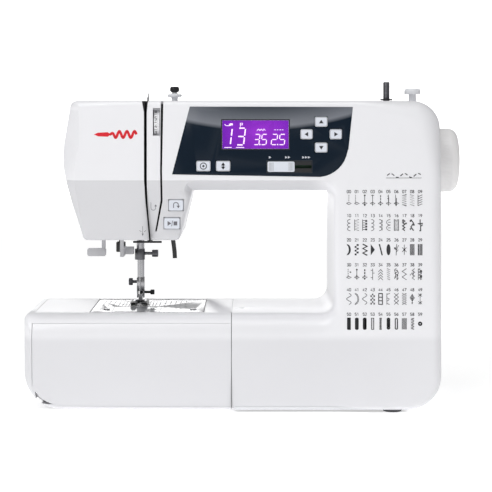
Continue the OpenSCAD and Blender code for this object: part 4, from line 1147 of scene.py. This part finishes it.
def makeDisplay():
    # lit figures and the rim of the display
    face = flatAt(display["face"])
    marks = []
    for text, x, z, width, height, line in display["numbers"]:
        marks += litNumber(text, x, z, width, height, line, face, display["slant"])
    marks += [ribbon([(11 + 1.3 * k, 263.2 + (1.6 if k % 2 else 0)) for k in range(7)], 0.45, face)]
    marks += [ribbon([(27 + 2.4 * k, 264), (28.4 + 2.4 * k, 264)], 0.55, face) for k in range(4)]
    marks += [ribbon([(-19.4, 269.2), (-17.8, 267.9), (-13.6, 267.9)], 0.55, face),
              solidMark([(-15.4, 268.2), (-11.6, 268.2), (-11.6, 270), (-14.2, 270)], face),
              ribbon([(-4.6, 266.8), (-4.6, 270.2), (-2.6, 270.2), (-2.6, 268.6), (-4.6, 268.6)], 0.5, face),
              ribbon([(-19.5, 247.6), (-12.6, 247.6)], 0.6, face),
              ribbon([(-8.6, 247.6), (-1, 247.6)], 0.6, face)]
    points, faces = joined(marks)
    lit = plastic("litBars", (0.9, 0.75, 0.95), roughness=0.4, bump=0.02, emission=(1, 0.72, 0.98, 0.45))
    addPiece("display_figures", points, faces, lit, "machine", slotOf["display"])
    x0, x1, z0, z1 = display["rim"]
    rim = [(x0, z0), (x1, z0), (x1, z1), (x0, z1), (x0, z0)]
    points, faces = ribbon(rim, 1.0, flatAt(panel["frontY"]))
    addPiece("display_rim", points, faces, paint("blackPlastic"), "machine", slotOf["display"])
    print("display made")


makeKeys()
makeSlider()
makeDisplay()
# Dark walls of painted shade inside the gaps, the dial, and the small parts round the needle
spot = {"needleX": -104, "presserY": 17, "bed": 91.1, "guide": (-69.5, -2, 0), "spindle": (138.4, 1, 0)}
# depths of the dark walls that paint shade in the slots, and the X of the seam's sheet
shadeWalls = {"near": -73.2, "wedgeNear": -72.9, "far": -36, "seamX": (-13.05, -12.75)}


def lining(path, y0, y1, width=0.16):
    # thin wall that follows a line on the front, from y0 to y1; in a dark colour it paints shade in a gap
    points, faces = ribbon(path, width, flatAt(0))
    near = points[:, 1] < 0
    points[:, 1] = np.where(near, y0, y1)
    return points, faces


def makeLinings():
    # painted shade: dark walls in the two slots, and a grey sheet in the seam between table and base
    near, far = shadeWalls["near"], shadeWalls["far"]
    parts = [lining(slots[side][1:], near, far) for side in ("leftSide", "rightSide")]
    dark = plastic("gapShade", (0.012, 0.012, 0.014), roughness=0.7, bump=0.1)
    edge = [(-76.9, 288), (-77.8, 226), (-77.4, 198), (-83.3, 169.4)]
    other = [(-78.0, 288), (-78.9, 226), (-78.5, 198), (-83.6, 169.4)]
    # painted shade in the slot beside the take-up lever
    funnel = [  # dark wedges each side of the take-up lever's path
        [(-96.2, 290.8), (-93.75, 290.8), (-93.75, 262), (-94.15, 262), (-94.2, 279)],
        [(-91.85, 290.8), (-90.6, 290.8), (-91.5, 279.5), (-91.5, 262), (-91.85, 262)]]
    wedges = [prism(outline, shadeWalls["wedgeNear"], far) for outline in funnel]
    points, faces = joined(parts + wedges + [lining(edge, -66, -60, 2.0), lining(other, -66, -60, 2.0)])
    addPiece("slot_shade_walls", points, faces, dark, "machine", slotOf["front_cover"])
    # painted shade: a grey sheet that fills the seam between table and base
    side = np.concatenate([arc(-53.5, 70.6, 19.4, 180, 90, 14), [[51, 90.2], [51, 4], [-72.9, 4]]])
    points, faces = prism(side, *shadeWalls["seamX"])
    seamShadeGrey = plastic("seamShadeGrey", (0.16, 0.16, 0.17), roughness=0.7, bump=0.1)
    addPiece("seam_shade_sheet", points[:, [1, 0, 2]], faces, seamShadeGrey, "machine", slotOf["front_cover"])


dial = {"x0": -85.2, "y": -58.6, "z": 271, "r": 15, "teeth": 40, "knurl": 0.5, "ink": 0.55, "pitch": 7.2}


def makeDial():
    # wheel with numbers round it; from 3.5 to 5.1 along it the radius is less by
    # knurl * (1 - cos(teeth * angle)) / 2
    d = dial
    profile = [(2.2, 0), (d["r"] - 0.8, 0), (d["r"], 0.5), (d["r"], 3.4), (d["r"] - 0.3, 3.6),
               (d["r"] - 0.3, 4.9), (d["r"] - 0.9, 5.3), (2.2, 5.3)]
    points, faces = lathe(profile, "x", (d["x0"], d["y"], d["z"]), 240)
    local = points - [0, d["y"], d["z"]]
    angle, along = np.arctan2(local[:, 2], local[:, 1]), points[:, 0] - d["x0"]
    knurl = np.where((along > 3.5) & (along < 5.1), d["knurl"], 0.0) * (1 - np.cos(d["teeth"] * angle)) / 2
    radius = np.linalg.norm(local[:, 1:], axis=1)
    points[:, 1:] = local[:, 1:] * ((radius - knurl) / radius)[:, None] + [d["y"], d["z"]]
    wheelWhite = plastic("dialWhite", (0.86, 0.86, 0.88), roughness=0.4, bump=0.2)
    addPiece("tension_dial_wheel", points, faces, wheelWhite, "tension_dial", slotOf["tension_dial"],
             replaced=("tension_dial",))
    parts = []
    for n in range(10):
        at = d["pitch"] * (n - 4.5)
        strokes = numberStrokes(str(n), d["x0"] + 1.9, at - 1.6, 3.2)
        parts += [ribbon(stroke, d["ink"], flatAt(0)) for stroke in strokes]
        parts.append(ribbon([(d["x0"] + .4, at + 3.6), (d["x0"] + 2.8, at + 3.6)], 0.4, flatAt(0)))
    points, faces = joined(parts)
    turn, r = points[:, 2] / d["r"], d["r"] - points[:, 1]  # wraps the flat strip round the wheel
    points = np.stack([points[:, 0], d["y"] - r * np.cos(turn), d["z"] + r * np.sin(turn)], 1)
    addPiece("tension_numbers", points, faces, paint("inkBlack"), "tension_dial", slotOf["tension_dial"])
    # painted shade: grey walls round the dial's window and a grey band along its top edge
    w = covers["dialWindow"]
    rim = [(w[0] - .3, w[2] - .3), (w[1] + .3, w[2] - .3), (w[1] + .3, w[3] + .3), (w[0] - .3, w[3] + .3),
           (w[0] - .3, w[2] - .3)]
    points, faces = joined([lining(rim, -73.9, -62, 0.5),
                            ribbon([(w[0], 283.4), (w[1], 283.4)], 1.2, flatAt(-73.4))])
    windowShadeGrey = plastic("windowShadeGrey", (0.30, 0.30, 0.32), roughness=0.5, bump=0.1)
    addPiece("dial_window_rim", points, faces, windowShadeGrey, "machine", slotOf["front_cover"])


def onTop(parts, height):
    # marks drawn with (x, y) as their flat coordinates, laid on a level face
    points, faces = joined(parts)
    return np.stack([points[:, 0], points[:, 2], height - points[:, 1]], 1), faces


def makePlateMarks():
    # outline, guide lines, numbers and arrow of the needle plate, and the hook cover's marks
    top, flat, needleX = spot["bed"], flatAt(0), spot["needleX"]
    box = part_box("needle_plate")
    x0, x1, y0, y1 = box[0][0] / mm, box[1][0] / mm, box[0][1] / mm, box[1][1] / mm
    parts = [ribbon([(x0 + .3, y0 + .3), (x1 - .3, y0 + .3), (x1 - .3, y1 - .3), (x0 + .3, y1 - .3),
                     (x0 + .3, y0 + .3)], 0.9, flat)]
    for k, dx in enumerate((10, 13, 16, 20, 25, 30, 35, 40, 45)):  # seam guides right and left of the needle
        parts.append(ribbon([(needleX + dx, -13), (needleX + dx, 24)], 0.45, flat))
        if dx < 36:
            parts.append(ribbon([(needleX - dx, -13), (needleX - dx, 24)], 0.45, flat))
        if dx in (16, 25, 35, 45):
            strokes = numberStrokes(str(dx // 10 + k % 3), needleX + dx + 1.2, -20, 3.6)
            parts += [ribbon(stroke, 0.5, flat) for stroke in strokes]
    parts += [ribbon([(-80 + 4 * k, -27), (-77.6 + 4 * k, -27)], 0.9, flat) for k in range(4)]
    parts.append(solidMark([(-63.4, -28.6), (-60.4, -27), (-63.4, -25.4)], flat))
    points, faces = onTop(parts, top)
    plateInk = plastic("plateInk", (0.12, 0.12, 0.13), roughness=0.5, bump=0.05)
    addPiece("plate_marks", points, faces, plateInk, "machine", slotOf["needle_plate"])
    # a triangle and a line on the hook cover
    points, faces = onTop([solidMark([(-90, -34), (-85, -34), (-87.5, -30)], flat),
                           ribbon([(-124, -47.4), (-84, -47.4)], 0.5, flat)], top)
    addPiece("hook_cover_marks", points, faces, paint("inkBlack"), "hook_cover", slotOf["hook_cover"])


def makeThreadGuides():
    # printed threading signs beside the slots
    sign = [(-87.9, 196.5), (-87.9, 191.2)] + loop(-85.7, 191.2, 2.2, 2.2, 8, 180, 360)[1:] + [(-83.5, 192.6)]
    other = [(-95.8, 174), (-95.8, 166.5)]
    parts = [ribbon(sign, 0.4, frontFace),
             solidMark([(-84.6, 192.6), (-82.3, 192.6), (-83.5, 194.6)], frontFace),
             ribbon(other, 0.4, frontFace),
             solidMark([(-96.8, 167), (-94.8, 167), (-95.8, 164.8)], frontFace),
             ribbon([(-98.8, 170), (-97, 168.6)], 0.4, frontFace),
             ribbon([(-92.8, 170), (-94.4, 168.6)], 0.4, frontFace)]
    points, faces = joined(parts)
    addPiece("threading_signs", points, faces, paint("signGrey"), "machine", slotOf["front_cover"])


def makeTopParts():
    # turned cap and disc of the thread guide, and the spindle's spring, whose radius is
    # 3.02 + 0.28 |sin(2.4 (z - 293.2))|
    cap = [(0.01, 305.0), (3.2, 305.0), (4.3, 304.2), (4.6, 303), (4.6, 301), (3.9, 300), (2.6, 299.3),
           (0.01, 299.3)]
    points, faces = lathe(cap, "z", spot["guide"], 40)
    addPiece("guide_cap", points, faces, paint("blackPlastic"), "machine", slotOf["pretension_guide"],
             replaced=("pretension_guide",))
    disc = [(0.01, 299.4), (2.4, 299.2), (3.4, 297.9), (6.4, 297.7), (7.1, 297.0), (7.1, 295.6),
            (6.4, 294.9), (3.6, 294.6), (3.1, 293.6), (3.1, 285), (0.01, 285)]
    points, faces = lathe(disc, "z", spot["guide"], 48)
    addPiece("guide_disc", points, faces, paint("whiteTrim"), "machine", slotOf["pretension_guide"])
    z = np.linspace(293.2, 308.6, 60)
    coil = np.stack([3.02 + 0.28 * np.abs(np.sin((z - 293.2) * 2.4)), z], 1)
    coil = np.concatenate([[[0.01, 292.6]], [[3.0, 292.8]], coil, [[2.5, 309.5], [0.01, 309.5]]])
    points, faces = lathe(coil, "z", spot["spindle"], 32)
    addPiece("spindle_spring", points, faces, paint("darkSteel"), "winder_spindle", slotOf["winder_spindle"])


lifter = {"top": 170, "length": 36, "left": -73.4, "slant": 2.7, "y": 21.5, "hub": (-74, 20, 172)}


def makeLifter():
    # blade: an eight-sided section carried down the line x = left + slant * smooth((166 - z) / 32)
    t = np.linspace(0, 1, 24)
    z = lifter["top"] - lifter["length"] * t
    x = lifter["left"] + lifter["slant"] * smooth((166 - z) / 32)
    y = lifter["y"] + 4 * t
    half, depth = 2.15 - 0.1 * t, 3.2 - 0.9 * t
    corner = [(-1, -1), (-.6, -1.15), (.6, -1.15), (1, -1), (1, 1), (.6, 1.15), (-.6, 1.15), (-1, 1)]
    rings = np.stack([np.stack([x + u * half, y + v * depth, z], 1) for u, v in corner], 1)
    n = len(corner)
    faces = gridFaces(len(t), n) + [list(range(n)), list(range((len(t) - 1) * n, len(t) * n))[::-1]]
    profile = [(0.01, 0), (5.6, 0), (6, .5), (6, 3.5), (5.6, 4), (0.01, 4)]
    hub, hubFaces = lathe(profile, "x", lifter["hub"], 40)
    points, faces = joined([(rings.reshape(-1, 3), faces), (hub, hubFaces)])
    addPiece("lifter_blade", points, faces, paint("blackPlastic"), "lifter", slotOf["foot_lifter"],
             replaced=("foot_lifter",))


foot = {
    "heel": 22, "tip": -14, "half": 8.3, "sole": 91.42, "top": 93.9, "rise": 2.6,
    "pin": (-107.8, 15.5, 98.5),
}


def makeFoot():
    # two toes round the needle slot, their soles rising by rise * smooth((-4 - y) / 10), and a steel middle
    n, needleX = 20, spot["needleX"]
    y = np.linspace(foot["heel"], foot["tip"], n)
    rise = foot["rise"] * smooth((-4 - y) / 10)
    parts = []
    for side in (-1, 1):
        inner = np.where(y < 0, 1.8 + 1.6 * smooth((-2 - y) / 12), np.where(y < 8.5, 4.1, 0.2))
        outer = foot["half"] - 1.4 * smooth((-8 - y) / 6) - 0.8 * smooth((y - 16) / 6)
        low, high = foot["sole"] + rise, foot["top"] + rise * 0.6 - 0.4 * smooth((-8 - y) / 6)
        low = low + 1.5 * smooth((y - 15.5) / 6.5)
        ring = [(inner, low), (outer, low), (outer, high - .5), (outer - .6, high), (inner + .3, high),
                (inner, high - .3)]
        points = np.stack([np.stack([needleX + side * a, y, b], 1) for a, b in ring], 1).reshape(-1, 3)
        parts.append((points, gridFaces(n, 6) + [list(range(6)), list(range((n - 1) * 6, n * 6))[::-1]]))
    points, faces = joined(parts)
    addPiece("foot_toes", points, faces, paint("blackPlastic"), "presser_foot", slotOf["presser_foot"],
             replaced=("presser_foot",))
    middle = [block(needleX - 4.6, needleX + 4.6, 9.5, 20, 93.6, 94.7),
              block(needleX - 1.9, needleX + 1.9, 13, 18, 94.4, 99.6),
              block(needleX - 6.4, needleX - 4.4, -2, 12, 93.6, 94.6),
              block(needleX + 4.4, needleX + 6.4, -2, 12, 93.6, 94.6)]
    pin, pinFaces = lathe([(0.01, 0), (1, 0), (1, 7.6), (0.01, 7.6)], "x", foot["pin"], 24)
    points, faces = joined(middle + [(pin, pinFaces)])
    addPiece("foot_middle", points, faces, paint("chromeSteel"), "presser_foot", slotOf["presser_foot"])


def makeSpring():
    # helix round the presser bar: (5 cos a, 5 sin a), the height growing evenly with the angle a
    turns, wire = 10, 0.55
    t = np.linspace(0, 1, turns * 20 + 1)
    angle = 2 * np.pi * turns * t
    centre = np.stack([spot["needleX"] + 5 * np.cos(angle), spot["presserY"] + 5 * np.sin(angle),
                       203.2 + 45 * t], 1)
    out = np.stack([np.cos(angle), np.sin(angle), 0 * t], 1)
    around = np.linspace(0, 2 * np.pi, 8, endpoint=False)
    rings = centre[:, None] + wire * (np.cos(around)[None, :, None] * out[:, None] + np.sin(around)[None,
        :, None] * [0, 0, 1])
    faces = gridFaces(len(t), 8) + [list(range(8)), list(range((len(t) - 1) * 8, len(t) * 8))[::-1]]
    addPiece("presser_coil", rings.reshape(-1, 3), faces, paint("satinSteel"), bodyOf["presser_spring"],
             slotOf["presser_spring"],
             replaced=("presser_spring",))


makeSpring()
makeLinings()
makeDial()
makePlateMarks()
makeThreadGuides()
makeTopParts()
makeLifter()
makeFoot()
print("small parts made")
